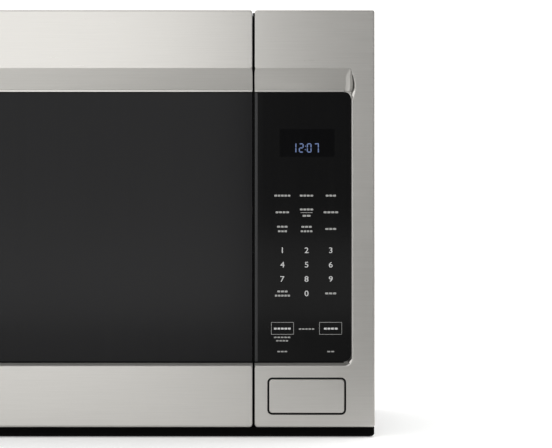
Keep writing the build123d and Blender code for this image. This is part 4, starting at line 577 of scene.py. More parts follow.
# ---- studio
@dataclass(frozen=True)
class SoftBox:
    """One soft light of the studio."""

    name: str
    place: Point
    target: Point
    size: Flat
    power: float

    def build(self) -> None:
        """Hang the light and turn it to its target."""
        lamp = bpy.data.lights.new(self.name, "AREA")
        lamp.shape = "RECTANGLE"
        lamp.size, lamp.size_y = self.size
        lamp.energy = self.power
        holder = bpy.data.objects.new(self.name, lamp)
        holder.location = self.place
        aim = Vector(self.target) - Vector(self.place)
        holder.rotation_euler = aim.to_track_quat("-Z", "Y").to_euler()
        bpy.context.scene.collection.objects.link(holder)


@dataclass(frozen=True)
class StudioSheet:
    """One flat sheet of the studio, its colour graded from left to right."""

    name: str
    board: str
    sides: tuple[float, float, float, float]
    height: float
    shades: tuple[str, str]
    ramp: Flat = (0.0, 0.4)
    glow: float = 0.0

    def build(self) -> bpy.types.Object:
        """Lay the sheet.

        Returns:
            The new object.
        """
        x0, x1, y0, y1 = self.sides
        ring = ((x0, y0), (x1, y0), (x1, y1), (x0, y1))
        mesh = bpy.data.meshes.new(self.name)
        mesh.from_pydata([(x, y, self.height) for x, y in ring], [], [(0, 1, 2, 3)])
        paper = bpy.data.materials.new(self.board)
        paper.use_nodes = True
        tree = paper.node_tree
        tree.nodes.clear()
        place = add_node(tree, "TexCoord", out="Object")
        across = add_node(tree, "SeparateXYZ", {"Vector": place}, "X")
        left, right = self.ramp
        share = add_node(tree, "MapRange", {"Value": across, "From Min": left, "From Max": right})
        tones = {0: share, 6: linear(self.shades[0]), 7: linear(self.shades[1])}
        surface: Inputs = {
            "Base Color": add_node(tree, "Mix", tones, 2, data_type="RGBA"),
            "Roughness": 0.9,
            "Specular IOR Level": 0.1,
        }
        if self.glow:
            surface["Emission Color"] = linear(self.shades[0])
            surface["Emission Strength"] = self.glow
        shader = add_node(tree, "BsdfPrincipled", surface)
        add_node(tree, "OutputMaterial", {"Surface": shader})
        mesh.materials.append(paper)
        sheet = bpy.data.objects.new(self.name, mesh)
        bpy.context.scene.collection.objects.link(sheet)
        return sheet


@dataclass
class Studio:
    """Camera, pale floor and plain soft light."""

    camera_x: float = 0.27804
    camera_z: float = 0.2193
    front_y: float = -0.197
    frame_width: float = 0.5681
    lens: float = 150.0
    sensor: float = 36.0
    view_end: float = 60.0
    sky_behind: float = 1.5
    sky_before: float = 0.36
    sky_turn: Flat = (-0.55, 0.35)
    floor: StudioSheet = StudioSheet(
        "floor", "pale_floor", (-40.0, 40.0, -40.0, 40.0), -0.0006, ("#fbfbfa", "#fbfbfa"), glow=0.2
    )
    card: StudioSheet = StudioSheet(
        "grey_card", "grey_card_board", (-3.0, 3.0, -3.0, -0.42), 0.0006, ("#e8e8e7", "#a4a4a3")
    )
    boxes: tuple[SoftBox, ...] = (
        SoftBox("key_light", (-0.42, -1.75, 0.78), (-0.32, -0.2, 0.5), (1.3, 1.5), 8.0),
        SoftBox("top_light", (0.0, 0.0, 2.3), (0.0, 0.0, 0.2), (2.4, 2.4), 13.0),
        SoftBox("right_light", (2.3, 0.4, 1.0), (0.38, 0.0, 0.2), (1.6, 1.4), 5.0),
        SoftBox("left_light", (-2.3, 0.4, 1.0), (-0.38, 0.0, 0.2), (1.6, 1.4), 5.0),
    )

    def build(self) -> None:
        """Set up the camera, the floor, the grey card, the sky and the lights."""
        self.add_camera()
        self.floor.build()
        card = self.card.build()
        # only reflections see the card
        card.visible_camera = card.visible_diffuse = card.visible_shadow = False
        card.visible_transmission = False
        self.add_sky()
        for box in self.boxes:
            box.build()
        bpy.context.scene.view_settings.view_transform = "Standard"

    def add_camera(self) -> None:
        """Stand the camera square to the front, with a long lens."""
        camera = bpy.data.cameras.new("camera")
        camera.lens = self.lens
        camera.sensor_width = self.sensor
        camera.clip_end = self.view_end
        holder = bpy.data.objects.new("camera", camera)
        distance = self.lens * self.frame_width / self.sensor
        holder.location = (self.camera_x, self.front_y - distance, self.camera_z)
        holder.rotation_euler = (math.radians(90), 0.0, 0.0)
        bpy.context.scene.collection.objects.link(holder)
        bpy.context.scene.camera = holder

    def add_sky(self) -> None:
        """Light from behind more than from in front, with a white backdrop all round."""
        world = bpy.data.worlds.new("studio_sky")
        bpy.context.scene.world = world
        world.use_nodes = True
        tree = world.node_tree
        tree.nodes.clear()
        way = add_node(tree, "TexCoord", out="Generated")
        depth = add_node(tree, "SeparateXYZ", {"Vector": way}, "Y")
        turn = {"Value": depth, "To Min": self.sky_before, "To Max": self.sky_behind}
        turn["From Min"], turn["From Max"] = self.sky_turn
        level = add_node(tree, "MapRange", turn, interpolation_type="SMOOTHSTEP")
        straight = add_node(tree, "LightPath", out="Is Camera Ray")
        shown = add_node(tree, "Math", {0: level, 1: straight}, operation="MAXIMUM")
        sky = add_node(tree, "Background", {"Color": linear("#ffffff"), "Strength": shown})
        add_node(tree, "OutputWorld", {"Surface": sky})


# ---- sub-assemblies
@dataclass(frozen=True)
class Skin:
    """One of the two formed skins of the front."""

    name: str
    body: str
    glass: str
    end: str
    side: int  # 1 where its end of the recess is the right one, -1 where it is the left one
    line_x: float  # its edge at the shut line

    def strip(self, reach: float, inset: float) -> list[float]:
        """Find both ends of a strip, from its reach to where it stops short of the shut line."""
        return sorted((self.side * reach, self.line_x + self.side * inset))


DOOR = Skin("door", "door", "door", "left", -1, 253.8)
FASCIA = Skin("fascia", "cabinet", "panel", "right", 1, 256.0)


@dataclass
class FrontSkins:
    """Door skin, fascia and the black glass that sits in their scooped recess."""

    edge_x: Flat = (256.2, 259.0)
    edge_sheet: float = 0.04
    glass_y: float = -188.0
    glass_z: Flat = (77.0, 355.8)
    glass_half: float = 355.7
    recess: float = 9.0
    corner_radius: float = 7.6
    wall_x: float = 356.1
    corner_sheet: float = 0.7
    corner_lap: float = 0.4
    scoop_rise: float = 24.1
    sweep_margin: float = 0.6
    sweep_fade: float = 3.0  # depth of the scoop below which the sweep narrows
    sweep_reach: float = 7.4
    bend_reach: float = 0.5
    rim_reach: float = 1.2
    rim_depth: float = 0.35
    sweep_sheet: float = 0.03
    sweep_root: Flat = (0.2, 0.02)  # how far the sweep's back edge lies inside the formed sheet
    # the strips of the sweep from the scoop's floor outwards, as shares of it, each finish darker than
    # the last: painted shade that deepens towards the crease
    strips: tuple[tuple[str, Finish, Flat], ...] = (
        ("end", SILL_STAINLESS, (0.0, 0.38)),
        ("return", DRAWN_AND_SHADED_STAINLESS, (0.38, 0.68)),
        ("crease", CREASE_SHADE_STAINLESS, (0.68, 1.0)),
    )
    # three points of the end wall's arc, just before the front plane and at the glass, each
    # with x as its real part and z as its imaginary one
    wall_arcs: tuple[tuple[complex, complex, complex], ...] = (
        (355.0 + 379.9j, 360.7 + 365.9j, 357.5 + 347.0j),
        (349.6 + 379.9j, 355.3 + 365.9j, 355.7 + 347.0j),
    )
    wall_y: Flat = (-198.0, -188.0)
    line_inset: float = 0.1
    lip_reach: float = 348.5
    lip_inset: float = 0.2
    lip_height: float = 1.8
    lip_sheet: float = 0.95
    lip_radius: float = 0.3
    side_bevel: float = 1.8
    sill_drop: float = 4.3
    sill_radius: float = 8.0
    # share of the way from glass to front, how far the rolled sheet rises there, and how far
    # it rises where the roll leans to the light: first for the sill, then for the upright edge
    roll: tuple[Point, ...] = (
        (0.0, 0.0, 0.0), (0.3, 0.1, 0.1), (0.6, 0.2, 0.2), (0.85, 0.36, 0.6), (0.92, 0.42, 1.3),
        (0.93, 0.42, 1.4), (0.97, 0.36, 0.75), (1.0, 0.0, 0.0),
    )
    side_roll: tuple[Point, ...] = (
        (0.0, 0.0, 0.0), (0.3, 0.4, 0.9), (0.6, 0.85, 2.0), (0.9, 1.25, 3.0), (0.95, 1.3, 3.1),
        (0.98, 1.3, 1.8), (0.9935, 1.3, 1.0), (0.9965, 1.28, 0.6), (0.9985, 1.18, 0.25),
        (1.0, 0.0, 0.0),
    )
    roll_loss: float = 0.85  # share of the sill's roll that is lost round the corner
    lean_rate: float = 4.0  # how soon round the corner the roll leans to the light
    glint_z: float = 353.5
    glint_half: float = 5.5
    fold_z: tuple[Flat, ...] = ((12.3, 72.5), (380.1, 437.8))
    fold_width: float = 2.2
    fold_radii: Flat = (2.15, 0.8)
    fold_taper: float = 1.5
    fold_sheet: Flat = (0.3, 0.2)
    gap_shade_x: Flat = (254.15, 255.95)
    gap_shade_y: Flat = (-186.5, -176.0)
    gap_shade_z: Flat = (12.0, 437.6)
    gap_shade_radius: float = 0.4
    # the dark strips of painted shadow along the edges of the glass
    shadow_line: float = 1.2
    shadow_line_reach: float = 348.0
    shadow_line_sheet: float = 0.1
    shadow_line_lap: float = 0.3

    @property
    def front_y(self) -> float:
        """Depth of the front plane."""
        return self.glass_y - self.recess

    def floor_y(self, z: float) -> float:
        """Find the depth of the recess's floor: the glass, and the scoop above it."""
        return self.glass_y - self.recess * max(0.0, z - self.glass_z[1]) / self.scoop_rise

    def wall(self, z: float, y: float) -> float:
        """Find the end wall of the scoop.

        Args:
            z: Height.
            y: Depth.

        Returns:
            Its x at the right end.
        """
        places = []
        for a, b, c in self.wall_arcs:
            # the circle through the three points
            turn = (c - a) / (b - a)
            middle = a + (b - a) * (turn - abs(turn) ** 2) / (2j * turn.imag)
            reach = math.sqrt(abs(a - middle) ** 2 - (z - middle.imag) ** 2)
            places.append(middle.real + reach)
        near, far = self.wall_y
        return places[0] + (places[1] - places[0]) * (y - near) / (far - near)

    def add_trim(self) -> None:
        """Lay the ground edge of the control glass, lighter as a painted highlight, and a dark sheet
        of painted shade deep in the shut line.
        """
        (x0, x1), (z0, z1), (near, far) = self.edge_x, self.glass_z, self.gap_shade_y
        # the ground edge, lighter than the glass as a painted highlight
        edge = MeshDraft().tile(
            [(x0, z0), (x1, z0), (x1, z1), (x0, z1)], self.glass_y, self.edge_sheet
        )
        edge.piece("glass_edge", GLASS_EDGE, "cabinet")
        # a dark sheet behind the shut line: painted shade where the gap falls dark
        gap_shade = MeshDraft().tile(rounded(*self.gap_shade_x, *self.gap_shade_z, self.gap_shade_radius), far, far - near)
        gap_shade.piece("gap_shade_sheet", PAINTED_SHADE_BLACK, "cabinet")

    def add_corner(self, skin: Skin) -> None:
        """Round the upper corner of the recess with the web of the formed sheet.

        Args:
            skin: Skin that gets the corner.
        """
        radius, top = self.corner_radius, self.glass_z[1]
        x, z = self.glass_half - radius, top - radius
        lap = top + self.corner_lap
        ring = [*arc((x, z), radius, 0, 90, 8), (x, lap), (self.wall_x, lap), (self.wall_x, z)]
        web = [(skin.side * x, z) for x, z in ring]
        draft = MeshDraft().tile(web, self.glass_y, self.corner_sheet)
        draft.piece(f"recess_corner_{skin.end}", BRUSHED_STAINLESS, skin.body)

    def add_sweep(self, skin: Skin) -> None:
        """Sweep the scoop's floor softly up into its end wall, strip by strip.

        Args:
            skin: Skin that gets the sweep.
        """
        rows, columns, side, front_y = 14, 6, skin.side, self.front_y
        low, rise = self.glass_z[1] + self.sweep_margin, self.scoop_rise - 2 * self.sweep_margin
        for name, finish, (first, last) in self.strips:
            rings = []
            for z in (low + rise * row / rows for row in range(rows + 1)):
                floor_y = self.floor_y(z)
                narrow = min(1.0, (floor_y - front_y) / self.sweep_fade)
                foot, rim = self.wall(z, floor_y), self.wall(z, front_y)
                start, bend = foot - self.sweep_reach * narrow, foot - self.bend_reach * narrow
                end, end_y = rim - self.rim_reach * narrow, front_y + self.rim_depth * narrow
                ring = [(side * (foot + self.sweep_root[0]), floor_y + self.sweep_root[1], z)]
                for column in range(columns + 1):
                    t = first + (last - first) * column / columns
                    a, b, c = (1 - t) ** 2, 2 * t * (1 - t), t * t
                    y = (a + b) * floor_y + c * end_y - self.sweep_sheet
                    ring.append((side * (a * start + b * bend + c * end), max(front_y, y), z))
                rings.append(ring)
            label = f"scoop_{name}_{skin.end}"
            MeshDraft().loft(rings).piece(label, finish, skin.body, smooth=True)

    def add_fold(self, skin: Skin) -> None:
        """Fold the sheet tightly beside the shut line, above the scoop and below the sill.

        Args:
            skin: Skin that gets the folds.
        """
        side, edge, front_y, taper = skin.side, skin.line_x, self.front_y, self.fold_taper
        inner, back_y = edge + side * self.fold_width, front_y + self.fold_width
        thick, thin = self.fold_sheet
        loose, tight = self.fold_radii
        draft = MeshDraft()
        for low, high in self.fold_z:
            heights = {low: loose, low + taper: tight, high - taper: tight, high: loose}
            rings = []
            for z, radius in heights.items():
                middle = (edge + side * radius, front_y + radius)
                ring = [(inner, front_y), *arc(middle, radius, 270, 270 - 90 * side, 6)]
                ring += [(edge, back_y), (edge + side * thick, back_y), (inner, front_y + thin)]
                rings.append([(x, y, z) for x, y in ring])
            draft.loft(rings)
        draft.piece(f"{skin.name}_fold", FOLDED_STAINLESS, skin.body)

    def rolled(
        self, skin: Skin, path: Sequence[Station], profile: Sequence[Point]
    ) -> list[list[Point]]:
        """Roll the sheet over along an edge of the recess.

        Args:
            skin: Skin that gets the roll.
            path: Stations along the edge: where the roll starts and ends, its share of the full
                rise, its share of the tilted one, and how far it leans to the upright.
            profile: Share of the way from back to front, rise there, and rise where it is tilted.

        Returns:
            One ring of points for each station.
        """
        rings = []
        for back, front, share, tilt, lean in path:
            upright = math.sqrt(max(0.0, 1 - lean * lean))
            ring = []
            for along, rise, tilted in profile:
                x, y, z = (a + (b - a) * along for a, b in zip(back, front))
                lift = rise * share + (tilted - rise) * tilt
                ring.append((skin.side * (x - lift * lean), y, z + lift * upright))
            rings.append(ring)
        return rings

    def add_sill(self, skin: Skin) -> None:
        """Roll the sill of the recess over, from the glass to the front and round the corner.

        Args:
            skin: Skin that gets the sill.
        """
        steps, radius, far = 8, self.sill_radius, skin.side * skin.line_x + self.line_inset
        back = (self.glass_half - radius, self.glass_z[0] + radius)
        front = (back[0] + self.side_bevel, back[1] - self.sill_drop)
        stations = [((far, self.glass_z[0]), (far, front[1] - radius), 0.0, 0)]
        arcs = (arc(middle, radius, -90, 0, steps) for middle in (back, front))
        for n, ends in enumerate(zip(*arcs)):
            stations.append((*ends, (ends[1][0] - back[0]) / radius if n else 0.0, n))
        path = []
        for (bx, bz), (fx, fz), lean, n in stations:
            lost = self.roll_loss * n / steps
            ends = (bx, self.glass_y, bz), (fx, self.front_y, fz)
            path.append((*ends, 1.0 - lost, min(1.0, self.lean_rate * lost), lean))
        rings = self.rolled(skin, path, self.roll)
        turning = 4  # ring where the wall has turned far enough to catch the light
        # the dim, shaded copy of the steel up to that ring and the brushed one after it: painted shade
        # and light by where the wall faces
        for name, part, finish in (
            ("sill", rings[: turning + 1], SILL_STAINLESS),
            ("sill_turn", rings[turning:], BRUSHED_STAINLESS),
        ):
            MeshDraft().loft(part).piece(f"{skin.name}_{name}", finish, skin.body, smooth=True)

    def add_side_roll(self, skin: Skin) -> None:
        """Roll the upright edge of the recess over, from the corner of the sill to the scoop.

        Args:
            skin: Skin that gets the rolled edge.
        """
        radius, steps, rows, fading = self.sill_radius, 6, 16, 3
        glass_y, front_y, (low, high) = self.glass_y, self.front_y, self.glass_z
        middle = (self.glass_half - radius, low + radius)
        path = []
        for n, (x, z) in enumerate(arc(middle, radius, -60, 0, steps)):
            out = (x + self.side_bevel, front_y, z - self.sill_drop)
            share, tilt = min(1.0, 2 * n / steps), math.sin(math.pi * n / steps)
            path.append(((x, glass_y, z), out, share, share * tilt, 1.0))
        foot, top = self.wall_arcs[0][2].imag, high + self.scoop_rise - self.corner_lap
        for row in range(rows + 1):
            z = foot + (top - foot) * row / rows
            floor_y = self.floor_y(z)
            back, out = (self.wall(z, floor_y), floor_y, z), (self.wall(z, front_y), front_y, z)
            share = min(1.0, (rows - row) / fading)
            tilt = max(0.0, 1.0 - abs(z - self.glint_z) / self.glint_half)
            path.append((back, out, share, share * tilt, 1.0))
        draft = MeshDraft().loft(self.rolled(skin, path, self.side_roll))
        draft.piece(f"{skin.name}_side_roll", BRUSHED_STAINLESS, skin.body, smooth=True)

    def add_glass_trim(self, skin: Skin) -> None:
        """Lay the flat lip where scoop and glass meet, and the dark strips of painted shadow along the
        top and bottom edges of the glass.

        Args:
            skin: Skin that the glass moves with.
        """
        x0, x1 = skin.strip(self.shadow_line_reach, self.line_inset)
        (low, high), glass_y = self.glass_z, self.glass_y
        ends = skin.strip(self.lip_reach, self.lip_inset)
        lip = rounded(*ends, high, high + self.lip_height, self.lip_radius)
        draft = MeshDraft().tile(lip, glass_y, self.lip_sheet)
        draft.piece(f"{skin.name}_upper_lip", BRUSHED_STAINLESS, skin.body)
        # dark strips of painted shadow: one under the lip at the top, one on the root of the sill at
        # the bottom
        foot, reach = low - self.shadow_line, self.recess * self.shadow_line / self.sill_drop
        sheet, lap = self.shadow_line_sheet, self.shadow_line_lap
        section = ((0.0, low - sheet), (0.0, low + lap), (-reach, foot + sheet), (-reach, foot))
        strips = MeshDraft().tile(rounded(x0, x1, high - self.shadow_line, high, sheet), glass_y, sheet)
        strips.prism([(x0, glass_y + y, z) for y, z in section], (x1 - x0, 0.0, 0.0))
        strips.piece(f"{skin.glass}_glass_shadow_line", PAINTED_SHADE_BLACK, skin.body)

    def dress(self) -> None:
        """Finish the skins and the glass, and add their small trim."""
        paint(BRUSHED_STAINLESS, "door_skin", "control_fascia")
        paint(DOOR_GLASS, "door_glass")
        paint(PANEL_GLASS, "control_glass")
        self.add_trim()
        for skin in (DOOR, FASCIA):
            self.add_corner(skin)
            self.add_sweep(skin)
            self.add_fold(skin)
            self.add_sill(skin)
            self.add_side_roll(skin)
            self.add_glass_trim(skin)


@dataclass
class KeyPanel:
    """Touch keys printed on the control glass: ten digits, and plain bars for the rest."""

    face_y: float = -188.0
    ink: float = 0.05
    columns: Point = (284.6, 309.6, 334.6)
    digit_rows: tuple[float, ...] = (192.2, 177.3, 162.5, 147.6)
    digit_height: float = 5.75
    digit_stretch: float = 1.12
    embolden: float = 0.006
    bar_height: float = 1.9
    bar_gap: float = 0.7
    dash: float = 3.4
    dash_radius: float = 0.5
    bars: tuple[Bar, ...] = (
        (284.6, 248.6, 16.6), (309.6, 248.6, 13.7), (334.7, 248.6, 10.6), (284.6, 231.4, 13.8),
        (309.6, 234.3, 13.7), (309.6, 227.8, 8.3), (334.7, 231.4, 15.1), (284.5, 216.5, 10.8),
        (284.7, 211.8, 9.2), (309.6, 216.4, 10.6), (309.6, 211.8, 12.1), (334.6, 214.2, 11.3),
        (284.7, 149.6, 10.7), (284.7, 145.3, 15.6), (334.5, 147.6, 11.4),
    )
    boxed_bars: tuple[Bar, ...] = ((284.6, 111.2, 17.4), (334.6, 111.2, 14.2))
    faint_bars: tuple[Bar, ...] = (
        (309.6, 110.8, 16.0), (284.4, 102.2, 17.0), (284.4, 98.7, 12.4), (284.5, 87.5, 10.2),
        (334.5, 87.5, 7.2),
    )
    faint_share: float = 0.75
    rule_x: Flat = (303.4, 315.8)
    rule_z: Flat = (230.8, 231.3)
    rule_radius: float = 0.2
    boxes: tuple[Flat, ...] = ((273.0, 296.4), (322.7, 346.2))
    box_z: Flat = (105.1, 117.9)
    box_radii: Flat = (0.6, 0.3)
    line: float = 0.42

    def add_bars(self) -> None:
        """Print bars of short dashes where the word keys are, and the rule between two of them."""
        for name, finish, bars, share in (
            ("key_bars_boxed", KEY_INK, self.boxed_bars, 1.0),
            ("key_bars", WORD_INK, self.bars, 1.0),
            ("key_bars_faint", KEY_INK_FAINT, self.faint_bars, self.faint_share),
        ):
            draft, half = MeshDraft(), self.bar_height * share / 2
            for x, z, width in bars:
                count = max(2, round(width / self.dash))
                step = (width + self.bar_gap) / count
                for left in (x - width / 2 + n * step for n in range(count)):
                    right = left + step - self.bar_gap
                    dash = rounded(left, right, z - half, z + half, self.dash_radius)
                    draft.tile(dash, self.face_y, self.ink)
            if finish is WORD_INK:
                rule = rounded(*self.rule_x, *self.rule_z, self.rule_radius)
                draft.tile(rule, self.face_y, self.ink)
            draft.piece(name, finish, "cabinet")

    def add_boxes(self) -> None:
        """Print the two boxed keys."""
        draft = MeshDraft()
        (z0, z1), line, back, near = self.box_z, self.line, self.face_y, self.face_y - self.ink
        for x0, x1 in self.boxes:
            outer = rounded(x0, x1, z0, z1, self.box_radii[0])
            inner = rounded(x0 + line, x1 - line, z0 + line, z1 - line, self.box_radii[1])
            rings = [
                [(u, near, v), (x, near, z), (x, back, z), (u, back, v)]
                for (u, v), (x, z) in zip(outer, inner)
            ]
            draft.loft(rings, endless=True)
        draft.piece("key_boxes", KEY_INK_FAINT, "cabinet")

    def add_digits(self) -> None:
        """Print the ten digits as a telephone sets them out."""
        spots = [(n % 3, n // 3, str(n + 1)) for n in range(9)] + [(1, 3, "0")]
        work = bmesh.new()
        for column, row, digit in spots:
            curve = bpy.data.curves.new("digit", "FONT")
            curve.body = digit
            curve.align_x = "CENTER"
            curve.offset = self.embolden
            curve.extrude = 0.5  # one unit deep, which the scale below turns into the ink
            holder = bpy.data.objects.new("digit", curve)
            shape = bpy.data.meshes.new_from_object(holder)
            left, right = (end(v.co.x for v in shape.vertices) for end in (min, max))
            low, high = (end(v.co.y for v in shape.vertices) for end in (min, max))
            shape.transform(Matrix.Translation((-(left + right) / 2, -(low + high) / 2, 0)))
            grow = self.digit_height / (high - low)
            size = (grow * self.digit_stretch * MM, grow * MM, self.ink * MM, 1)
            stand = Matrix.Rotation(math.radians(90), 4, "X") @ Matrix.Diagonal(size)
            spot = (self.columns[column], self.face_y - self.ink / 2, self.digit_rows[row])
            shape.transform(Matrix.Translation([length * MM for length in spot]) @ stand)
            work.from_mesh(shape)
            bpy.data.objects.remove(holder)
            bpy.data.curves.remove(curve)
            bpy.data.meshes.remove(shape)
        bmesh.ops.remove_doubles(work, verts=work.verts, dist=MERGE)
        bmesh.ops.dissolve_degenerate(work, edges=work.edges, dist=MERGE)
        mesh = bpy.data.meshes.new("key_digits")
        work.to_mesh(mesh)
        work.free()
        place_mesh(mesh, KEY_INK, "cabinet")

    def dress(self) -> None:
        """Print the bars, the boxes and the digits."""
        self.add_bars()
        self.add_boxes()
        self.add_digits()


@dataclass
class ClockDisplay:
    """Smoked window in the glass and four lit digits with their colon."""

    window_x: Flat = (281.7, 338.6)
    window_z: Flat = (288.7, 317.4)
    window_radius: float = 0.8
    face_y: float = -188.0
    sheet: float = 0.03
    low_z: float = 293.0
    height: float = 9.8
    width: float = 4.9
    stroke: float = 1.1
    gap: float = 0.12
    inset: float = 0.1
    starts: tuple[float, ...] = (294.8, 302.2, 310.4, 318.0)
    shown: str = "1207"
    colon_x: float = 308.4
    colon_shares: Flat = (0.32, 0.68)
    dot_half: float = 0.5
    dot_radius: float = 0.4

    def segment(self, draft: MeshDraft, start: Flat, end: Flat) -> None:
        """Add one lit segment with pointed ends.

        Args:
            draft: Draft that gets the segment.
            start: First end as x and z.
            end: Second end as x and z.
        """
        half, ring = self.stroke / 2, []
        # each corner: the end that it is at, and half strokes along and across the segment
        corners = (
            (start, 0, 0), (start, 1, 1), (end, -1, 1), (end, 0, 0), (end, -1, -1), (start, 1, -1),
        )
        for (x, z), along, across in corners:
            u, v = (across, along) if start[0] == end[0] else (along, -across)
            ring.append((x + half * u, z + half * v))
        draft.tile(ring, self.face_y - self.sheet, self.sheet)

    def dress(self) -> None:
        """Set the smoked window and light the digits."""
        paint(DISPLAY_CASE, "display_module")
        outline = rounded(*self.window_x, *self.window_z, self.window_radius)
        window = MeshDraft().tile(outline, self.face_y, self.sheet)
        window.piece("clock_window", SMOKED_WINDOW, "cabinet")
        # which of the seven segments each digit lights, from the top round to the middle
        lit = {"0": "abcdef", "1": "bc", "2": "abged", "7": "abc"}
        digits = MeshDraft()
        inset, gap = self.stroke / 2 + self.inset, self.gap
        z0, z2 = self.low_z + inset, self.low_z + self.height - inset
        z1 = (z0 + z2) / 2
        for digit, x0 in zip(self.shown, self.starts):
            x1 = x0 + self.width - self.stroke
            # the uprights of a 1 and of a 7 run to the outer edge, with a squarer end
            reach = self.stroke / 2 if digit in "17" else -gap
            ends = {one: ((x0 + gap, z), (x1 - gap, z)) for one, z in zip("dga", (z0, z1, z2))}
            ends["b"] = ((x1, z1 + gap), (x1, z2 + reach))
            ends["c"] = ((x1, z0 - reach), (x1, z1 - gap))
            ends["e"] = ((x0, z0 + gap), (x0, z1 - gap))
            ends["f"] = ((x0, z1 + gap), (x0, z2 - gap))
            for name in lit[digit]:
                self.segment(digits, *ends[name])
        x, half = self.colon_x, self.dot_half
        for z in (self.low_z + self.height * share for share in self.colon_shares):
            dot = rounded(x - half, x + half, z - half, z + half, self.dot_radius)
            digits.tile(dot, self.face_y - self.sheet, self.sheet)
        digits.piece("clock_digits", LIT_SEGMENT, "cabinet")


@dataclass
class ReleaseGear:
    """Push button, its spring, the cranked lever, the hooks and the switches."""

    def dress(self) -> None:
        """Finish every piece between the button and the hooks."""
        paint(BUTTON_STAINLESS, "release_button")
        paint(SPRING_WIRE, "release_spring", "latch_spring", "release_lever")
        paint(GREY_ACETAL, "latch_hooks", "latch_board")
        paint(BLACK_ABS, "interlock_switches")
        paint(RED_NYLON, "switch_buttons")


@dataclass
class DoorInside:
    """Moulded door frame, choke, screen and inner window."""

    def dress(self) -> None:
        """Finish the pieces that show when the door is open."""
        paint(BLACK_ABS, "door_frame", "choke_cover")
        paint(GALVANISED, "choke_panel", "hinge_brackets")
        paint(SPRING_WIRE, "hinge_pins")
        paint(PUNCHED_SCREEN, "window_screen")
        paint(CLEAR_GLASS, "inner_window")


@dataclass
class OvenAndTurntable:
    """Enamelled oven, its turntable and the roller ring under the glass tray."""

    def dress(self) -> None:
        """Finish the oven and what turns in it."""
        paint(OVEN_ENAMEL, "oven_cavity", "front_frame")
        paint(MICA_SHEET, "waveguide_cover")
        paint(CLEAR_GLASS, "glass_tray")
        wheels = (f"roller_wheel_{n}" for n in (1, 2, 3))
        paint(GREY_ACETAL, "turntable_coupler", "roller_ring", *wheels)
        paint(CORE_STEEL, "turntable_motor")


@dataclass
class Cabinet:
    """Outer case, base, back and the plate that hangs it on the wall."""

    slot_length: float = 4.4
    slot_width: float = 0.9
    slot_depth: float = 0.04

    def screw_heads(self) -> list[Point]:
        """Find the rearmost middle of each screw in the case.

        Returns:
            One point for each screw, in millimetres.
        """
        work = bmesh.new()
        work.from_mesh(bpy.data.objects["case_screws"].data)
        bmesh.ops.remove_doubles(work, verts=work.verts, dist=MERGE)
        seen: set[bmesh.types.BMVert] = set()
        heads = []
        for first in work.verts:
            if first in seen:
                continue
            screw, queue = {first}, [first]
            while queue:
                one = queue.pop()
                near = {edge.other_vert(one) for edge in one.link_edges} - screw
                screw |= near
                queue += near
            seen |= screw
            low, high = ([end(v.co[n] for v in screw) / MM for n in range(3)] for end in (min, max))
            heads.append(((low[0] + high[0]) / 2, high[1], (low[2] + high[2]) / 2))
        work.free()
        return heads

    def add_screw_slots(self) -> None:
        """Mark the cross recess in the head of each rear screw with a thin black cross: painted shade
        where the recess falls dark.
        """
        draft = MeshDraft()
        half, thin = self.slot_length / 2, self.slot_width / 2
        arm = ((-thin, half), (-thin, thin), (-half, thin))
        quarters = ((1, 0), (0, 1), (-1, 0), (0, -1))
        ring = [(c * u - s * v, s * u + c * v) for c, s in quarters for u, v in arm]
        for x, y, z in self.screw_heads():
            draft.prism([(x + u, y, z + v) for u, v in ring], (0.0, self.slot_depth, 0.0))
        # the black moulded finish here is painted shade in the recess, not a part of its own
        draft.piece("screw_recess_shade", BLACK_ABS, "cabinet")

    def dress(self) -> None:
        """Finish the cabinet."""
        paint(POWDER_COAT, "outer_case", "vent_grille")
        paint(BASE_COAT_AND_SHADE, "base_plate")
        paint(GALVANISED, "back_plate", "mounting_plate", "mount_nuts")
        paint(SPRING_WIRE, "case_screws")
        paint(BLACK_ABS, "control_housing")
        self.add_screw_slots()


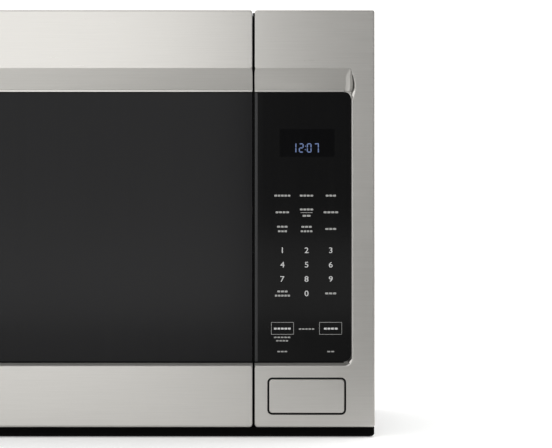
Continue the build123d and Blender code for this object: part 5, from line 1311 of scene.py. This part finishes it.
@dataclass
class Hood:
    """Blower, damper, filters and the lamps over the cooktop."""

    filter_x: float = 175.0
    filter_y: Flat = (62.0, 159.0)
    filter_half: float = 98.5
    strand: float = 0.9
    cell_x: float = 10.0
    cell_y: float = 5.0
    mesh_z: Flat = (1.5, 2.35)
    weave: float = 1.1  # how far each layer of strands reaches into the next
    lens_margin: Flat = (9.0, 8.0)
    rib_pitch: float = 3.0
    rib_share: float = 0.42
    rib_z: Flat = (0.25, 0.62)

    def lattice(self, end: str, middle: float) -> None:
        """Weave the diamond mesh of one filter.

        Args:
            end: End of the oven that the filter is at, left or right.
            middle: Middle x of the filter.
        """
        draft = MeshDraft()
        x0, x1 = middle - self.filter_half, middle + self.filter_half
        (y0, y1), (z0, z1) = self.filter_y, self.mesh_z
        layer = (z1 - z0) / 2
        rise = self.cell_y / self.cell_x * (x1 - x0)
        count = int((y1 - y0 + rise) / self.cell_y) + 1
        for way, low in ((1, z0), (-1, z0 + layer)):
            slope = way * self.cell_y / self.cell_x
            for n in range(count):
                start = (y0 - rise if way > 0 else y0) + n * self.cell_y
                # the strand is cut to the opening, and left out where it misses it
                cuts = sorted(x0 + (y - start) / slope for y in self.filter_y)
                ax, bx = max(x0, cuts[0]), min(x1, cuts[1])
                ay, by = (start + slope * (x - x0) for x in (ax, bx))
                length = math.hypot(bx - ax, by - ay)
                if bx <= ax or length < self.cell_y:
                    continue
                half = self.strand / 2 / length
                u, v = (by - ay) * half, (bx - ax) * half
                ring = [
                    (ax - u, ay + v, low), (bx - u, by + v, low),
                    (bx + u, by - v, low), (ax + u, ay - v, low),
                ]
                draft.prism(ring, (0.0, 0.0, layer * self.weave))
        draft.piece(f"filter_mesh_{end}", FILTER_ALUMINIUM, f"filter_{end}")

    def add_lens_ribs(self) -> None:
        """Press the fine ribs under the lamp cover."""
        low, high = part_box("lamp_cover")
        margin_x, margin_y = self.lens_margin
        x0, x1 = low.x / MM + margin_x, high.x / MM - margin_x
        y0, y1 = low.y / MM + margin_y, high.y / MM - margin_y
        z0, z1 = self.rib_z
        half = self.rib_pitch * self.rib_share
        draft = MeshDraft()
        for n in range(int((y1 - y0) / self.rib_pitch)):
            y = y0 + (n + 0.5) * self.rib_pitch
            ring = [(x0, y - half, z1), (x0, y, z0), (x0, y + half, z1)]
            draft.prism(ring, (x1 - x0, 0.0, 0.0))
        draft.piece("lamp_lens_ribs", FROSTED_GLASS, "lamp_lid")

    def dress(self) -> None:
        """Finish the hood and add the mesh and the ribs."""
        paint(GALVANISED, "blower_housing", "damper_frame", "damper_flap")
        paint(CORE_STEEL, "blower_motor")
        paint(ALUMINIUM_SHEET, "blower_wheels")
        paint(CHARCOAL_BED, "charcoal_filter")
        paint(FILTER_PAD, "grease_filter_left", "grease_filter_right")
        paint(FROSTED_GLASS, "lamp_cover", "cooktop_lamps")
        for end, middle in (("left", -self.filter_x), ("right", self.filter_x)):
            self.lattice(end, middle)
        self.add_lens_ribs()


@dataclass
class PowerBay:
    """Everything electrical to the right of the oven."""

    def dress(self) -> None:
        """Finish the pieces of the bay."""
        paint(ALUMINIUM_SHEET, "waveguide", "high_voltage_capacitor", "magnetron")
        paint(CORE_STEEL, "high_voltage_transformer", "cooling_fan_motor")
        paint(BLACK_ABS, "fan_shroud", "cooling_fan", "thermal_cutoffs")
        paint(CIRCUIT_BOARD, "noise_filter_board", "control_board")
        paint(FROSTED_GLASS, "cavity_lamp")


def main() -> None:
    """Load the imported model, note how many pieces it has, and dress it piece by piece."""
    logging.basicConfig(level=logging.INFO, format="%(name)s: %(message)s")
    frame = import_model()
    LOG.info("%d packed pieces", len(frame["nodes"]))
    Studio().build()
    front = (FrontSkins(), KeyPanel(), ClockDisplay(), ReleaseGear(), DoorInside())
    for part in (*front, OvenAndTurntable(), Cabinet(), Hood(), PowerBay()):
        part.dress()
        LOG.info("%s is done", type(part).__name__)


if __name__ == "__main__":
    main()
